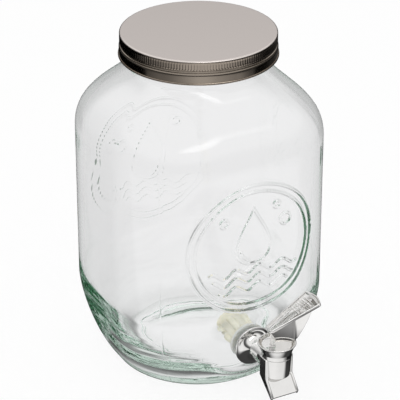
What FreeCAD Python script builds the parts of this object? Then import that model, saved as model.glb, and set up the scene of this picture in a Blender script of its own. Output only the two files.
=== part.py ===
import FreeCAD, Part
import math
import os
import re

import Sketcher

# A free-standing glass jar dispenser: a rounded-square jar with a wide mouth, a pressed metal screw
# lid with its seal, and a plug tap low on the front face.
# Frame, in millimetres: the origin is on the jar's axis in the plane of its foot, +Z is up, the tap
# points along -Y and its lever lies along +X while the tap is shut.
# The tap's own pieces are drawn about the point where its inlet axis meets its barrel axis. The pieces
# that clamp it to the glass are drawn along the inlet axis, from the back of the tap's flange outwards.

SIZES = [
    # Jar
    ("body_half", 80.7, "half the jar's width, flat to flat"),
    ("corner_radius", 57.8, "radius of the body's upright corners"),
    ("heel_radius", 61.0, "radius of the round foot"),
    ("heel_height", 59.3, "height of the heel, up to the upright wall"),
    ("heel_power", 1.5, "roundness of the heel's curve"),
    ("wall_height", 115.2, "height of the upright wall"),
    ("shoulder_height", 54.2, "height of the shoulder, up to the throat"),
    ("shoulder_power", 2.73, "fullness of the shoulder's curve"),
    ("shoulder_ease", 2.03, "sweep of the shoulder into the throat"),
    ("flat_ease", 0.4, "how slowly the shoulder's flats close, set against its width"),
    ("section_flat", 0.4, "half length of the flats left on the round sections"),
    ("throat_length", 8.3, "height of the plain throat"),
    ("finish_length", 14.1, "height of the ring that carries the thread"),
    ("mouth_radius", 44.5, "radius of the mouth"),
    ("throat_wall", 4.5, "glass thickness of the throat"),
    ("finish_step", 3.4, "how far the threaded ring stands out from the throat"),
    ("rim_round", 2.0, "rounding of the rim"),
    ("wall", 4.5, "glass thickness of the upright wall"),
    ("floor_height", 10.0, "height of the inside floor"),
    ("floor_inset", 9.0, "how much smaller the inside floor is than the foot, in radius"),
    ("heel_step", 4.0, "how much higher the inside heel ends than the outside one"),
    ("shoulder_drop", 3.0, "how much lower the inside shoulder lies than the outside one"),
    ("foot_width", 14.0, "width of the ring that the jar stands on"),
    ("push_up_depth", 4.5, "depth of the hollow under the foot"),
    # Screw thread of jar and lid
    ("thread_pitch", 5.08, "rise of the thread in one turn"),
    ("thread_turns", 1.25, "turns of the thread on the glass"),
    ("thread_depth", 1.5, "how far the glass thread stands out"),
    ("thread_width", 2.2, "width of the glass thread at its root"),
    ("thread_margin", 3.15, "glass left between the thread's upper end and the rim"),
    ("thread_clearance", 0.5, "radial room between the lid's thread and the glass"),
    ("thread_root", 0.3, "how deep each thread is rooted in what carries it"),
    # Lid
    ("seal_gap", 0.1, "gap on each face of the seal"),
    ("liner_thickness", 0.5, "thickness of the seal disc"),
    ("liner_margin", 1.2, "how far the seal disc reaches beyond the threaded ring"),
    ("lid_sheet", 0.5, "thickness of the lid's sheet metal"),
    ("lid_play", 1.2, "radial room between the glass thread and the knurled band"),
    ("lid_height", 17.4, "overall height of the lid"),
    ("lid_edge", 1.0, "rounding of the lid's top edge"),
    ("knurl_height", 7.6, "depth of the knurled band below the lid's top"),
    ("lid_groove", 0.7, "depth of the groove under the knurled band"),
    ("skirt_step", 0.4, "how far the plain skirt stands out from the knurled band"),
    ("curl_radius", 0.9, "radius of the curled edge"),
    ("lid_thread_turns", 0.6, "turns of the thread in the lid"),
    ("lid_thread_width", 1.6, "width of the lid's thread at its root"),
    # Tap hole and clamping
    ("tap_height", 39.9, "height of the tap hole"),
    ("shank_radius", 8.0, "radius of the inlet shank"),
    ("tap_hole_clearance", 0.6, "room between the shank and the hole"),
    ("pad_margin", 2.3, "how far the flat pads around the hole reach beyond the flange"),
    ("pad_thickness", 8.5, "glass thickness between the two pads"),
    ("outer_washer", 1.5, "thickness of the washer under the flange"),
    ("inner_washer", 1.8, "thickness of the washer under the nut"),
    ("washer_width", 5.4, "from the shank's surface to the rim of both washers"),
    ("washer_clearance", 0.2, "room between the shank and the washers"),
    ("shank_tail", 12.0, "length of shank beyond the nut"),
    ("spigot_wall", 1.9, "wall of the shank's spigot in the tap"),
    ("spigot_length", 8.0, "length of that spigot"),
    ("glue_gap", 0.05, "gap around glued and screwed joints"),
    ("nut_height", 10.0, "height of the lock nut"),
    ("nut_wall", 1.75, "wall of the nut between its lobes"),
    ("nut_flange", 2.5, "thickness of the nut's flange"),
    ("nut_step", 2.2, "how far the nut's flange and lobes stand out"),
    ("nut_lobe_radius", 2.4, "radius of a lobe on the nut"),
    ("nut_lobes", 6, "lobes on the nut"),
    # Tap body
    ("neck_length", 33.1, "from the back of the flange to the barrel's axis"),
    ("flange_overhang", 1.3, "how far the tap's flange reaches beyond the washer"),
    ("flange_thickness", 1.4, "thickness of the flange's rim"),
    ("flare_length", 8.0, "length of the flare between flange and neck"),
    ("neck_wall", 1.55, "wall of the tap's neck around the spigot"),
    ("waterway_radius", 3.3, "radius of the waterway through shank and neck"),
    ("barrel_wall", 1.75, "wall of the barrel at its foot"),
    ("barrel_step", 1.0, "ledge under the collar, between the barrel and its upper spigot"),
    ("barrel_rise", 10.1, "height of the barrel above the inlet axis"),
    ("barrel_floor", 1.5, "thickness of the barrel's floor"),
    ("port_margin", 0.2, "height left between the waterway and the barrel's floor"),
    ("stem_wall", 1.55, "wall of the barrel's upper spigot"),
    ("stem_height", 4.6, "height of that spigot"),
    ("cheek_stand", 0.6, "how far the spout's cheeks stand out from the barrel"),
    ("cheek_back", 4.6, "from the barrel's axis back to the cheeks' rear edge"),
    ("cheek_front", 4.0, "from the barrel's axis to the cheeks' front edge"),
    ("cheek_wall", 1.4, "thickness of a cheek beside the front plate"),
    ("spout_reach", 12.4, "how far the spout's lip stands in front of the barrel's axis"),
    ("spout_drop", 16.9, "depth of the spout's lip below the inlet axis"),
    ("lip_thickness", 1.3, "thickness of the spout's lip"),
    ("plate_recess", 0.9, "how far the front plate lies behind the cheeks, measured level"),
    ("plate_thickness", 1.3, "thickness of the front plate, measured level"),
    ("spout_wall", 1.2, "thickness of the spout's rear wall"),
    ("outlet_half", 6.0, "half the width of the outlet in the barrel's floor"),
    ("chamber_side_wall", 1.8, "thickness of the spout's side walls"),
    # Collar
    ("collar_height", 10.4, "height of the retaining collar"),
    ("collar_wall", 1.25, "wall of the collar's straight foot"),
    ("collar_waist_height", 3.0, "height of that foot"),
    ("collar_lip_height", 1.4, "height of the lip's flare"),
    ("collar_lip_flare", 0.9, "how far the lip flares out"),
    ("collar_floor", 1.4, "thickness of the collar's inner floor"),
    ("cup_flare", 1.5, "how much wider the collar's cup is at its lip than at its floor, in radius"),
    ("cup_base_wall", 0.6, "wall of the cup at its floor"),
    ("cup_wall", 1.0, "wall of the cup at its lip"),
    # Plug and its seals
    ("plug_radius", 7.8, "radius of the plug"),
    ("running_clearance", 0.05, "radial running fit of the plug in the barrel"),
    ("plug_wall", 2.8, "wall of the plug around its hollow"),
    ("hollow_margin", 1.3, "how far the hollow reaches above the waterway"),
    ("stem_step", 2.2, "ledge between the plug and its stem"),
    ("stem_clearance", 0.3, "room around the stem in the collar"),
    ("drive_half", 2.6, "half the width of the square drive"),
    ("drive_height", 8.0, "height of the square drive"),
    ("ring_section", 0.75, "radius of a seal ring's section"),
    ("ring_room", 0.1, "room for a seal ring in its groove"),
    ("ring_margin", 2.6, "from the top of the hollow to the middle of the lower seal ring"),
    ("ring_pitch", 3.6, "distance between the two seal rings"),
    # Lever
    ("lever_clearance", 0.4, "room between the lever and the collar"),
    ("hub_radius", 10.8, "radius of the lever's hub disc"),
    ("hub_thickness", 2.6, "thickness of the hub disc"),
    ("lever_angle", 24.0, "slope of the lever's paddle in degrees"),
    ("paddle_height", 36.1, "height of the paddle's face above the inlet axis, at the barrel's axis"),
    ("paddle_back", 8.5, "length of the paddle behind the barrel's axis"),
    ("paddle_front", 31.0, "length of the paddle to the corners of its tip"),
    ("paddle_bow", 2.6, "how far the tip's edge bows out beyond its corners"),
    ("paddle_back_half", 4.2, "half the paddle's width at its back end"),
    ("paddle_tip_half", 10.6, "half the paddle's width at its tip"),
    ("paddle_thickness", 2.6, "thickness of the paddle"),
    ("paddle_border", 1.5, "width of the raised border around the paddle's panel"),
    ("panel_depth", 0.7, "depth of the paddle's panel"),
    ("rib_count", 7, "grip ribs near the tip"),
    ("rib_pitch", 1.9, "distance between grip ribs"),
    ("rib_width", 0.9, "width of a grip rib"),
    ("rib_inset", 4.6, "from the tip's corners back to the first rib"),
    ("web_back_wall", 0.75, "wall of the web's foot behind the drive socket"),
    ("web_foot_inset", 0.6, "from the hub's rim back to the web's front foot"),
    ("web_overhang", 0.7, "how far the web's knee reaches beyond the collar's lip"),
    ("web_knee_radius", 60.0, "bow of the web's lower edge"),
    ("web_nose_depth", 11.6, "depth of the web's nose below the paddle's face"),
    ("web_nose_inset", 1.5, "from the corners of the paddle's tip back to the web's nose"),
    ("web_tip_inset", 0.5, "from the corners of the paddle's tip back to the web's upper end"),
    ("web_taper_start", 12.0, "from the barrel's axis to where the web begins to taper"),
    ("web_tip_half", 0.8, "half the web's thickness at its tip"),
    ("web_rear_radius", 18.0, "hollow radius of the web's rear face"),
]
NAMES = {alias for alias, size, note in SIZES}

# Fractions of a curve's height at which the heel and the shoulder have a section
HEEL_STEPS = (1.0, 0.75, 0.5, 0.3, 0.15, 0.05, 0.0)
SHOULDER_STEPS = (0.0, 0.15, 0.3, 0.45, 0.6, 0.74, 0.87, 1.0)

# Heights and radii of the jar and the lid
WALL_TOP = "(heel_height + wall_height)"
THROAT_FOOT = f"({WALL_TOP} + shoulder_height)"
RING_FOOT = f"({THROAT_FOOT} + throat_length)"
RIM = f"({RING_FOOT} + finish_length)"
THROAT_RADIUS = "(mouth_radius + throat_wall)"
RING_RADIUS = f"({THROAT_RADIUS} + finish_step)"
THREAD_START = f"({RIM} - thread_margin - thread_width / 2 - thread_turns * thread_pitch)"
LID_TOP = f"({RIM} + 2 * seal_gap + liner_thickness + lid_sheet)"
LID_RADIUS = f"({RING_RADIUS} + thread_depth + lid_play + lid_sheet)"
SKIRT_RADIUS = f"({LID_RADIUS} + skirt_step)"

# Places along the tap's inlet axis and radii about it
FLANGE_BACK = "(body_half + outer_washer)"
TAP_REACH = f"({FLANGE_BACK} + neck_length)"
NUT_SEAT = "(outer_washer + pad_thickness + inner_washer)"
HOLE_RADIUS = "(shank_radius + tap_hole_clearance)"
WASHER_RADIUS = "(shank_radius + washer_width)"
FLANGE_RADIUS = f"({WASHER_RADIUS} + flange_overhang)"
PAD_RADIUS = f"({FLANGE_RADIUS} + pad_margin)"
NUT_RADIUS = "(shank_radius + glue_gap + nut_wall)"
SPIGOT_RADIUS = "(waterway_radius + spigot_wall)"
NECK_RADIUS = f"({SPIGOT_RADIUS} + glue_gap + neck_wall)"

# Heights above the tap's inlet axis and radii about the barrel's axis
BARREL_FOOT = "(-waterway_radius - port_margin - barrel_floor)"
BARREL_TOP = "(barrel_rise + stem_height)"
BARREL_BORE = "(plug_radius + running_clearance)"
STEM_RADIUS = f"({BARREL_BORE} + stem_wall)"
BARREL_TOP_RADIUS = f"({STEM_RADIUS} + barrel_step)"
CHEEK_HALF = f"({BARREL_TOP_RADIUS} + cheek_stand)"
PLATE_INSIDE = "(plate_recess + plate_thickness)"
CUP_FLOOR_BOTTOM = f"({BARREL_TOP} + running_clearance)"
CUP_FLOOR_TOP = f"({CUP_FLOOR_BOTTOM} + collar_floor)"
CUP_FLOOR_RADIUS = "(hub_radius + lever_clearance)"
COLLAR_TOP = "(barrel_rise + collar_height)"
COLLAR_RADIUS = f"({CUP_FLOOR_RADIUS} + cup_flare + cup_wall)"
PLUG_FOOT = f"({BARREL_FOOT} + barrel_floor + running_clearance)"
PLUG_STEM_RADIUS = "(plug_radius - stem_step)"
HOLLOW_TOP = "(waterway_radius + hollow_margin)"
LOWER_RING = f"({HOLLOW_TOP} + ring_margin)"
RING_CENTRE = "(plug_radius - ring_section)"
GROOVE_RADIUS = "(plug_radius - 2 * ring_section - ring_room)"
HUB_FOOT = f"({CUP_FLOOR_TOP} + lever_clearance)"
HUB_TOP = f"({HUB_FOOT} + hub_thickness)"
SOCKET_HALF = "(drive_half + glue_gap)"

doc = FreeCAD.newDocument("jar_dispenser")
sheet = doc.addObject("Spreadsheet::Sheet", "Sizes")
for row, (alias, size, note) in enumerate(SIZES, start=1):
    sheet.set(f"A{row}", note)
    sheet.set(f"B{row}", str(size))
    sheet.setAlias(f"B{row}", alias)
doc.recompute()

vector = FreeCAD.Vector
UP = vector(0, 0, 1)


def sized(text):
    """Turn a formula on size names into an expression on the sheet's cells."""
    return re.sub(r"[a-z_]+", lambda word: f"Sizes.{word[0]}" if word[0] in NAMES else word[0], text)


def value(text):
    """The present value of a formula on size names."""
    return float(sheet.evalExpression(sized(text)))


def bind(item, path, text):
    """Tie a property of an object to a formula on size names."""
    item.setExpression(path, sized(text))


def new_body(label, y="0", z="0", turn=0):
    """A body placed at (0, y, z) and turned about the X axis by an angle in degrees."""
    body = doc.addObject("PartDesign::Body", label)
    body.Label = label
    body.Placement = FreeCAD.Placement(vector(), FreeCAD.Rotation(vector(1, 0, 0), turn))
    bind(body, "Placement.Base.y", y)
    bind(body, "Placement.Base.z", z)
    return body


def tap_piece(label):
    """A body about the point where the tap's inlet axis meets its barrel axis."""
    return new_body(label, f"-{TAP_REACH}", "tap_height")


def clamp_piece(label):
    """A body on the inlet axis, its +Z pointing out of the jar from the back of the flange."""
    return new_body(label, f"-{FLANGE_BACK}", "tap_height", 90)


def new_sketch(body, name, role, offset="0"):
    """A sketch on one of the body's own planes, moved along that plane's normal."""
    sketch = body.newObject("Sketcher::SketchObject", name)
    origin_plane = next(item for item in body.Origin.OriginFeatures if item.Role == role)
    sketch.AttachmentSupport = (origin_plane, [""])
    sketch.MapMode = "FlatFace"
    bind(sketch, "AttachmentOffset.Base.z", offset)
    return sketch


def dimension(sketch, name, text, kind, *where):
    """A named dimension of a sketch, tied to a formula."""
    index = sketch.addConstraint(Sketcher.Constraint(kind, *where, value(text)))
    sketch.renameConstraint(index, name)
    bind(sketch, f"Constraints.{name}", text)


def circle(sketch, radius, x="0", y="0"):
    """A circle of a given radius about the point (x, y)."""
    centre = vector(value(x), value(y), 0)
    item = sketch.addGeometry(Part.Circle(centre, UP, value(radius)))
    dimension(sketch, f"across_{item}", x, "DistanceX", -1, 1, item, 3)
    dimension(sketch, f"along_{item}", y, "DistanceY", -1, 1, item, 3)
    dimension(sketch, f"radius_{item}", radius, "Radius", item)


def arc_between(start, end, radius, turn):
    """The short arc from start to end: turn is 1 anticlockwise and -1 clockwise."""
    chord = end - start
    middle = (start + end) * 0.5
    rise = math.sqrt(max(radius ** 2 - (chord.Length / 2) ** 2, 0))
    side = vector(-chord.y, chord.x, 0).normalize()
    centre = middle + side * (rise * turn)
    first, last = (start, end) if turn > 0 else (end, start)
    angles = [math.atan2(point.y - centre.y, point.x - centre.x) for point in (first, last)]
    return Part.ArcOfCircle(Part.Circle(centre, UP, radius), *angles)


def outline(sketch, points):
    """A closed loop through points (x, y). A point (x, y, radius, turn) starts an arc to the next one."""
    corners = [vector(value(point[0]), value(point[1]), 0) for point in points]
    begins, ends = [], []
    for number, point in enumerate(points):
        start, end = corners[number], corners[(number + 1) % len(points)]
        if len(point) == 2:
            item = sketch.addGeometry(Part.LineSegment(start, end))
            begins.append((item, 1))
            ends.append((item, 2))
        else:
            item = sketch.addGeometry(arc_between(start, end, value(point[2]), point[3]))
            begins.append((item, 1 if point[3] > 0 else 2))
            ends.append((item, 2 if point[3] > 0 else 1))
    for number, point in enumerate(points):
        sketch.addConstraint(Sketcher.Constraint("Coincident", *ends[number - 1], *begins[number]))
    for number, point in enumerate(points):
        item = begins[number][0]
        dimension(sketch, f"across_{item}", point[0], "DistanceX", -1, 1, *begins[number])
        dimension(sketch, f"along_{item}", point[1], "DistanceY", -1, 1, *begins[number])
        if len(point) > 2:
            dimension(sketch, f"radius_{item}", point[2], "Radius", item)


def rounded_square(body, name, height, core, corner):
    """A square with round corners: core is half the side of the square through the corners' centres."""
    sketch = new_sketch(body, name, "XY_Plane", height)
    half, radius = value(core), value(corner)
    centres = [vector(half, half, 0), vector(-half, half, 0), vector(-half, -half, 0), vector(half, -half, 0)]
    arcs, sides = [], []
    for quarter, centre in enumerate(centres):
        begin = quarter * math.pi / 2
        round_corner = Part.ArcOfCircle(Part.Circle(centre, UP, radius), begin, begin + math.pi / 2)
        arcs.append(sketch.addGeometry(round_corner))
    for quarter, centre in enumerate(centres):
        angle = (quarter + 1) * math.pi / 2
        reach = vector(math.cos(angle), math.sin(angle), 0) * radius
        line = Part.LineSegment(centre + reach, centres[(quarter + 1) % 4] + reach)
        sides.append(sketch.addGeometry(line))
    for quarter in range(4):
        following = arcs[(quarter + 1) % 4]
        sketch.addConstraint(Sketcher.Constraint("Tangent", arcs[quarter], 2, sides[quarter], 1))
        sketch.addConstraint(Sketcher.Constraint("Tangent", sides[quarter], 2, following, 1))
    for other in arcs[1:]:
        sketch.addConstraint(Sketcher.Constraint("Equal", arcs[0], other))
    sketch.addConstraint(Sketcher.Constraint("Symmetric", arcs[0], 3, arcs[1], 3, -2))
    sketch.addConstraint(Sketcher.Constraint("Symmetric", arcs[0], 3, arcs[2], 3, -1, 1))
    sketch.addConstraint(Sketcher.Constraint("Symmetric", arcs[0], 3, arcs[3], 3, -1))
    dimension(sketch, "core_across", core, "DistanceX", -1, 1, arcs[0], 3)
    dimension(sketch, "core_along", core, "DistanceY", -1, 1, arcs[0], 3)
    dimension(sketch, "corner", corner, "Radius", arcs[0])
    return sketch


def feature(body, kind, name, profile, **settings):
    """A feature on a sketch. Settings given as text are formulas, but for the choices named here."""
    item = body.newObject(f"PartDesign::{kind}", name)
    item.Profile = profile
    for key, setting in settings.items():
        if isinstance(setting, str) and key not in ("SideType", "Mode"):
            bind(item, key, setting)
        else:
            setattr(item, key, setting)
    return item


def turned(body, name, points, role="XZ_Plane", axis="V_Axis", kind="Revolution"):
    """A solid of revolution, or a turned groove, of an outline about an axis of its sketch."""
    sketch = new_sketch(body, f"{name}_profile", role)
    outline(sketch, points)
    return feature(body, kind, name, sketch, ReferenceAxis=(sketch, [axis]), Angle=360)


def heel_share(step):
    """Share of the heel's widening reached at a fraction of its height, a superellipse quarter."""
    return f"((1 - {1 - step} ^ heel_power) ^ (1 / heel_power))"


def shoulder_share(step):
    """Share of the body's width beyond the throat that is left at a fraction of the shoulder's height."""
    return f"((1 - {step} ^ shoulder_power) ^ shoulder_ease)"


def heel_sections(body, name, low, high, narrow, wide):
    """Sections from the upright wall down to the round foot, between two heights and two half widths."""
    sections = []
    for number, step in enumerate(HEEL_STEPS):
        share = heel_share(step)
        half = f"({narrow} + ({wide} - {narrow}) * {share})"
        core = f"(section_flat + (body_half - corner_radius - section_flat) * {share})"
        height = f"{low} + ({high} - {low}) * {step}"
        sections.append(rounded_square(body, f"{name}_{number}", height, core, f"{half} - {core}"))
    return sections


def shoulder_sections(body, name, low, high, wide, narrow):
    """Sections from the upright wall up to the round throat. The flats close faster than the width."""
    sections = []
    for number, step in enumerate(SHOULDER_STEPS):
        share = shoulder_share(step)
        half = f"({narrow} + ({wide} - {narrow}) * {share})"
        core = f"(section_flat + (body_half - corner_radius - section_flat) * {share} ^ flat_ease)"
        height = f"{low} + ({high} - {low}) * {step}"
        sections.append(rounded_square(body, f"{name}_{number}", height, core, f"{half} - {core}"))
    return sections


def loft(body, kind, name, sections):
    """A smooth loft through sections."""
    item = feature(body, kind, name, sections[0])
    item.Sections = sections[1:]
    return item


def thread(body, name, points, turns):
    """A right-handed screw thread of a given section around the Z axis."""
    sketch = new_sketch(body, f"{name}_section", "XZ_Plane")
    outline(sketch, points)
    doc.recompute()
    return feature(body, "AdditiveHelix", name, sketch, ReferenceAxis=(sketch, ["V_Axis"]),
                   Mode="pitch-turns-angle", Pitch="thread_pitch", Turns=turns)


def make_glass_jar():
    """The jar: upright rounded-square wall, heel, shoulder, threaded finish, tap pads and hole."""
    body = new_body("glass_jar")
    inner_half = "(body_half - wall)"
    inner_heel_top = "(heel_height + heel_step)"
    inner_floor = "(heel_radius - floor_inset)"
    inner_shoulder = f"({WALL_TOP} - shoulder_drop)"
    inner_throat = f"({THROAT_FOOT} - shoulder_drop)"

    heel = heel_sections(body, "heel", "0", "heel_height", "heel_radius", "body_half")
    feature(body, "Pad", "upright_wall", heel[0], Length="wall_height")
    loft(body, "AdditiveLoft", "heel", heel)
    shoulder = shoulder_sections(body, "shoulder", WALL_TOP, THROAT_FOOT, "body_half", THROAT_RADIUS)
    loft(body, "AdditiveLoft", "shoulder", shoulder)
    turned(body, "finish", [
        ("0", THROAT_FOOT),
        (THROAT_RADIUS, THROAT_FOOT),
        (THROAT_RADIUS, RING_FOOT),
        (RING_RADIUS, f"{RING_FOOT} + finish_step"),
        (RING_RADIUS, f"{RIM} - rim_round", "rim_round", 1),
        (f"{RING_RADIUS} - rim_round", RIM),
        ("0", RIM),
    ])

    inner_heel = heel_sections(body, "inner_heel", "floor_height", inner_heel_top, inner_floor, inner_half)
    feature(body, "Pocket", "inner_wall", inner_heel[0], Length=f"{inner_shoulder} - {inner_heel_top}",
            Reversed=True)
    loft(body, "SubtractiveLoft", "inner_heel", inner_heel)
    inner_shoulder_rows = shoulder_sections(body, "inner_shoulder", inner_shoulder, inner_throat, inner_half,
                                            "mouth_radius")
    loft(body, "SubtractiveLoft", "inner_shoulder", inner_shoulder_rows)
    turned(body, "mouth", [
        ("0", inner_throat),
        ("mouth_radius", inner_throat),
        ("mouth_radius", f"{RIM} - rim_round", "rim_round", -1),
        ("mouth_radius + rim_round", RIM),
        ("0", RIM),
    ], kind="Groove")
    push_up = "(heel_radius - foot_width)"
    turned(body, "push_up", [
        ("0", "0"),
        (push_up, "0", f"({push_up} ^ 2 + push_up_depth ^ 2) / (2 * push_up_depth)", 1),
        ("0", "push_up_depth"),
    ], kind="Groove")

    inner_pad = "body_half - pad_thickness"
    pad = new_sketch(body, "tap_pad_round", "XZ_Plane", inner_pad)
    circle(pad, PAD_RADIUS, "0", "tap_height")
    feature(body, "Pad", "tap_pad", pad, Length="pad_thickness")
    spot = new_sketch(body, "spot_face_round", "XZ_Plane", inner_pad)
    circle(spot, PAD_RADIUS, "0", "tap_height")
    feature(body, "Pocket", "spot_face", spot, Length="inner_washer + nut_height + shank_tail")
    hole = new_sketch(body, "tap_hole_round", "XZ_Plane", "body_half")
    circle(hole, HOLE_RADIUS, "0", "tap_height")
    feature(body, "Pocket", "tap_hole", hole, Length="pad_thickness")

    thread(body, "neck_thread", [
        (f"{RING_RADIUS} - thread_root", f"{THREAD_START} - thread_width / 2"),
        (f"{RING_RADIUS} + thread_depth", f"{THREAD_START} - thread_width / 4"),
        (f"{RING_RADIUS} + thread_depth", f"{THREAD_START} + thread_width / 4"),
        (f"{RING_RADIUS} - thread_root", f"{THREAD_START} + thread_width / 2"),
    ], "thread_turns")


def make_lid():
    """The pressed lid: flat top, knurled band, groove, plain skirt, curled edge and rolled thread."""
    body = new_body("lid_shell")
    band_foot = f"{LID_TOP} - knurl_height"
    skirt_foot = f"{LID_TOP} - lid_height + 2 * curl_radius"
    waist = f"{LID_RADIUS} - lid_groove"
    skirt_top = f"{band_foot} - 3 * lid_groove - skirt_step"
    turned(body, "shell", [
        ("0", LID_TOP),
        (f"{LID_RADIUS} - lid_edge", LID_TOP, "lid_edge", -1),
        (LID_RADIUS, f"{LID_TOP} - lid_edge"),
        (LID_RADIUS, band_foot),
        (waist, f"{band_foot} - lid_groove"),
        (waist, f"{band_foot} - 2 * lid_groove"),
        (SKIRT_RADIUS, skirt_top),
        (SKIRT_RADIUS, f"{skirt_foot} - curl_radius"),
        (f"{SKIRT_RADIUS} - lid_sheet", f"{skirt_foot} - curl_radius"),
        (f"{SKIRT_RADIUS} - lid_sheet", skirt_top),
        (f"{waist} - lid_sheet", f"{band_foot} - 2 * lid_groove"),
        (f"{waist} - lid_sheet", f"{band_foot} - lid_groove"),
        (f"{LID_RADIUS} - lid_sheet", band_foot),
        (f"{LID_RADIUS} - lid_sheet", f"{LID_TOP} - lid_edge", "lid_edge - lid_sheet", 1),
        (f"{LID_RADIUS} - lid_edge", f"{LID_TOP} - lid_sheet"),
        ("0", f"{LID_TOP} - lid_sheet"),
    ])
    curl = new_sketch(body, "curl_round", "XZ_Plane")
    circle(curl, "curl_radius", f"{SKIRT_RADIUS} - lid_sheet / 2", f"{LID_TOP} - lid_height + curl_radius")
    feature(body, "Revolution", "curl", curl, ReferenceAxis=(curl, ["V_Axis"]), Angle=360)

    middle = f"{THREAD_START} - thread_pitch / 2"
    crest = f"{RING_RADIUS} + thread_clearance"
    root = f"{SKIRT_RADIUS} - lid_sheet + thread_root"
    thread(body, "lid_thread", [
        (root, f"{middle} - lid_thread_width / 2"),
        (root, f"{middle} + lid_thread_width / 2"),
        (crest, f"{middle} + lid_thread_width / 4"),
        (crest, f"{middle} - lid_thread_width / 4"),
    ], "lid_thread_turns")


def make_lid_liner():
    """The seal: a plain disc between the rim and the lid's top."""
    body = new_body("lid_liner")
    disc = new_sketch(body, "liner_round", "XY_Plane", f"{RIM} + seal_gap")
    circle(disc, f"{RING_RADIUS} + liner_margin")
    feature(body, "Pad", "liner", disc, Length="liner_thickness")


def make_tap_body():
    """Flange, flared neck, tapered barrel and duckbill spout, with the bores through them."""
    body = tap_piece("tap_body")
    flare_start = "neck_length - flange_thickness"
    flare_rise = f"({FLANGE_RADIUS} - {NECK_RADIUS})"
    turned(body, "neck", [
        ("0", "0"),
        ("neck_length", "0"),
        ("neck_length", FLANGE_RADIUS),
        (flare_start, FLANGE_RADIUS, f"(flare_length ^ 2 + {flare_rise} ^ 2) / (2 * {flare_rise})", -1),
        (f"{flare_start} - flare_length", NECK_RADIUS),
        ("0", NECK_RADIUS),
    ], "YZ_Plane", "H_Axis")
    turned(body, "barrel", [
        ("0", BARREL_FOOT),
        (f"{BARREL_BORE} + barrel_wall", BARREL_FOOT),
        (BARREL_TOP_RADIUS, "barrel_rise"),
        (STEM_RADIUS, "barrel_rise"),
        (STEM_RADIUS, BARREL_TOP),
        ("0", BARREL_TOP),
    ])

    lip_front = "-(spout_reach + lip_thickness / 2)"
    lip_top = "lip_thickness - spout_drop"
    cheeks = new_sketch(body, "cheek_side", "YZ_Plane")
    outline(cheeks, [
        ("cheek_back", "barrel_rise"),
        ("cheek_back", BARREL_FOOT),
        ("-spout_reach", "-spout_drop"),
        (lip_front, lip_top),
        ("-cheek_front", BARREL_FOOT),
        ("-cheek_front", "barrel_rise"),
    ])
    feature(body, "Pad", "cheeks", cheeks, Length=f"2 * {CHEEK_HALF}", SideType="Symmetric")
    recess = new_sketch(body, "recess_side", "YZ_Plane")
    outline(recess, [
        ("-cheek_front", BARREL_FOOT),
        (lip_front, lip_top),
        (f"{lip_front} + plate_recess", lip_top),
        ("plate_recess - cheek_front", BARREL_FOOT),
    ])
    feature(body, "Pocket", "recess", recess, Length=f"2 * ({CHEEK_HALF} - cheek_wall)", SideType="Symmetric")
    chamber = new_sketch(body, "chamber_side", "YZ_Plane")
    outline(chamber, [
        ("cheek_back - spout_wall", BARREL_FOOT),
        ("cheek_back - spout_wall", lip_top),
        (f"{lip_front} + {PLATE_INSIDE}", lip_top),
        (f"{PLATE_INSIDE} - cheek_front", BARREL_FOOT),
    ])
    feature(body, "Pocket", "chamber", chamber, Length=f"2 * ({CHEEK_HALF} - chamber_side_wall)",
            SideType="Symmetric")

    bore = new_sketch(body, "bore_round", "XY_Plane", BARREL_TOP)
    circle(bore, BARREL_BORE)
    feature(body, "Pocket", "bore", bore, Length=f"{BARREL_TOP} - {BARREL_FOOT} - barrel_floor")
    outlet = new_sketch(body, "outlet_slot", "XY_Plane", f"{BARREL_FOOT} + barrel_floor")
    outline(outlet, [
        ("-outlet_half", f"{PLATE_INSIDE} - cheek_front"),
        ("outlet_half", f"{PLATE_INSIDE} - cheek_front"),
        ("outlet_half", "cheek_back - spout_wall"),
        ("-outlet_half", "cheek_back - spout_wall"),
    ])
    feature(body, "Pocket", "outlet", outlet, Length="barrel_floor")
    waterway = new_sketch(body, "waterway_round", "XZ_Plane")
    circle(waterway, "waterway_radius")
    feature(body, "Pocket", "waterway", waterway, Length="neck_length")
    socket = new_sketch(body, "socket_round", "XZ_Plane", "-neck_length")
    circle(socket, f"{SPIGOT_RADIUS} + glue_gap")
    feature(body, "Pocket", "socket", socket, Length="spigot_length + glue_gap", Reversed=True)


def make_retaining_collar():
    """The flared cup that screws onto the barrel's spigot and keeps the plug down."""
    body = tap_piece("retaining_collar")
    hole = f"{PLUG_STEM_RADIUS} + stem_clearance"
    bore = f"{STEM_RADIUS} + glue_gap"
    turned(body, "collar", [
        (f"{bore} + collar_wall", "barrel_rise"),
        (f"{bore} + collar_wall", "barrel_rise + collar_waist_height"),
        (f"{CUP_FLOOR_RADIUS} + cup_base_wall", CUP_FLOOR_TOP),
        (f"{COLLAR_RADIUS} - collar_lip_flare", f"{COLLAR_TOP} - collar_lip_height"),
        (COLLAR_RADIUS, f"{COLLAR_TOP} - collar_lip_height / 2"),
        (COLLAR_RADIUS, COLLAR_TOP),
        (f"{COLLAR_RADIUS} - cup_wall", COLLAR_TOP),
        (CUP_FLOOR_RADIUS, CUP_FLOOR_TOP),
        (hole, CUP_FLOOR_TOP),
        (hole, CUP_FLOOR_BOTTOM),
        (bore, CUP_FLOOR_BOTTOM),
        (bore, "barrel_rise"),
    ])


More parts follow.
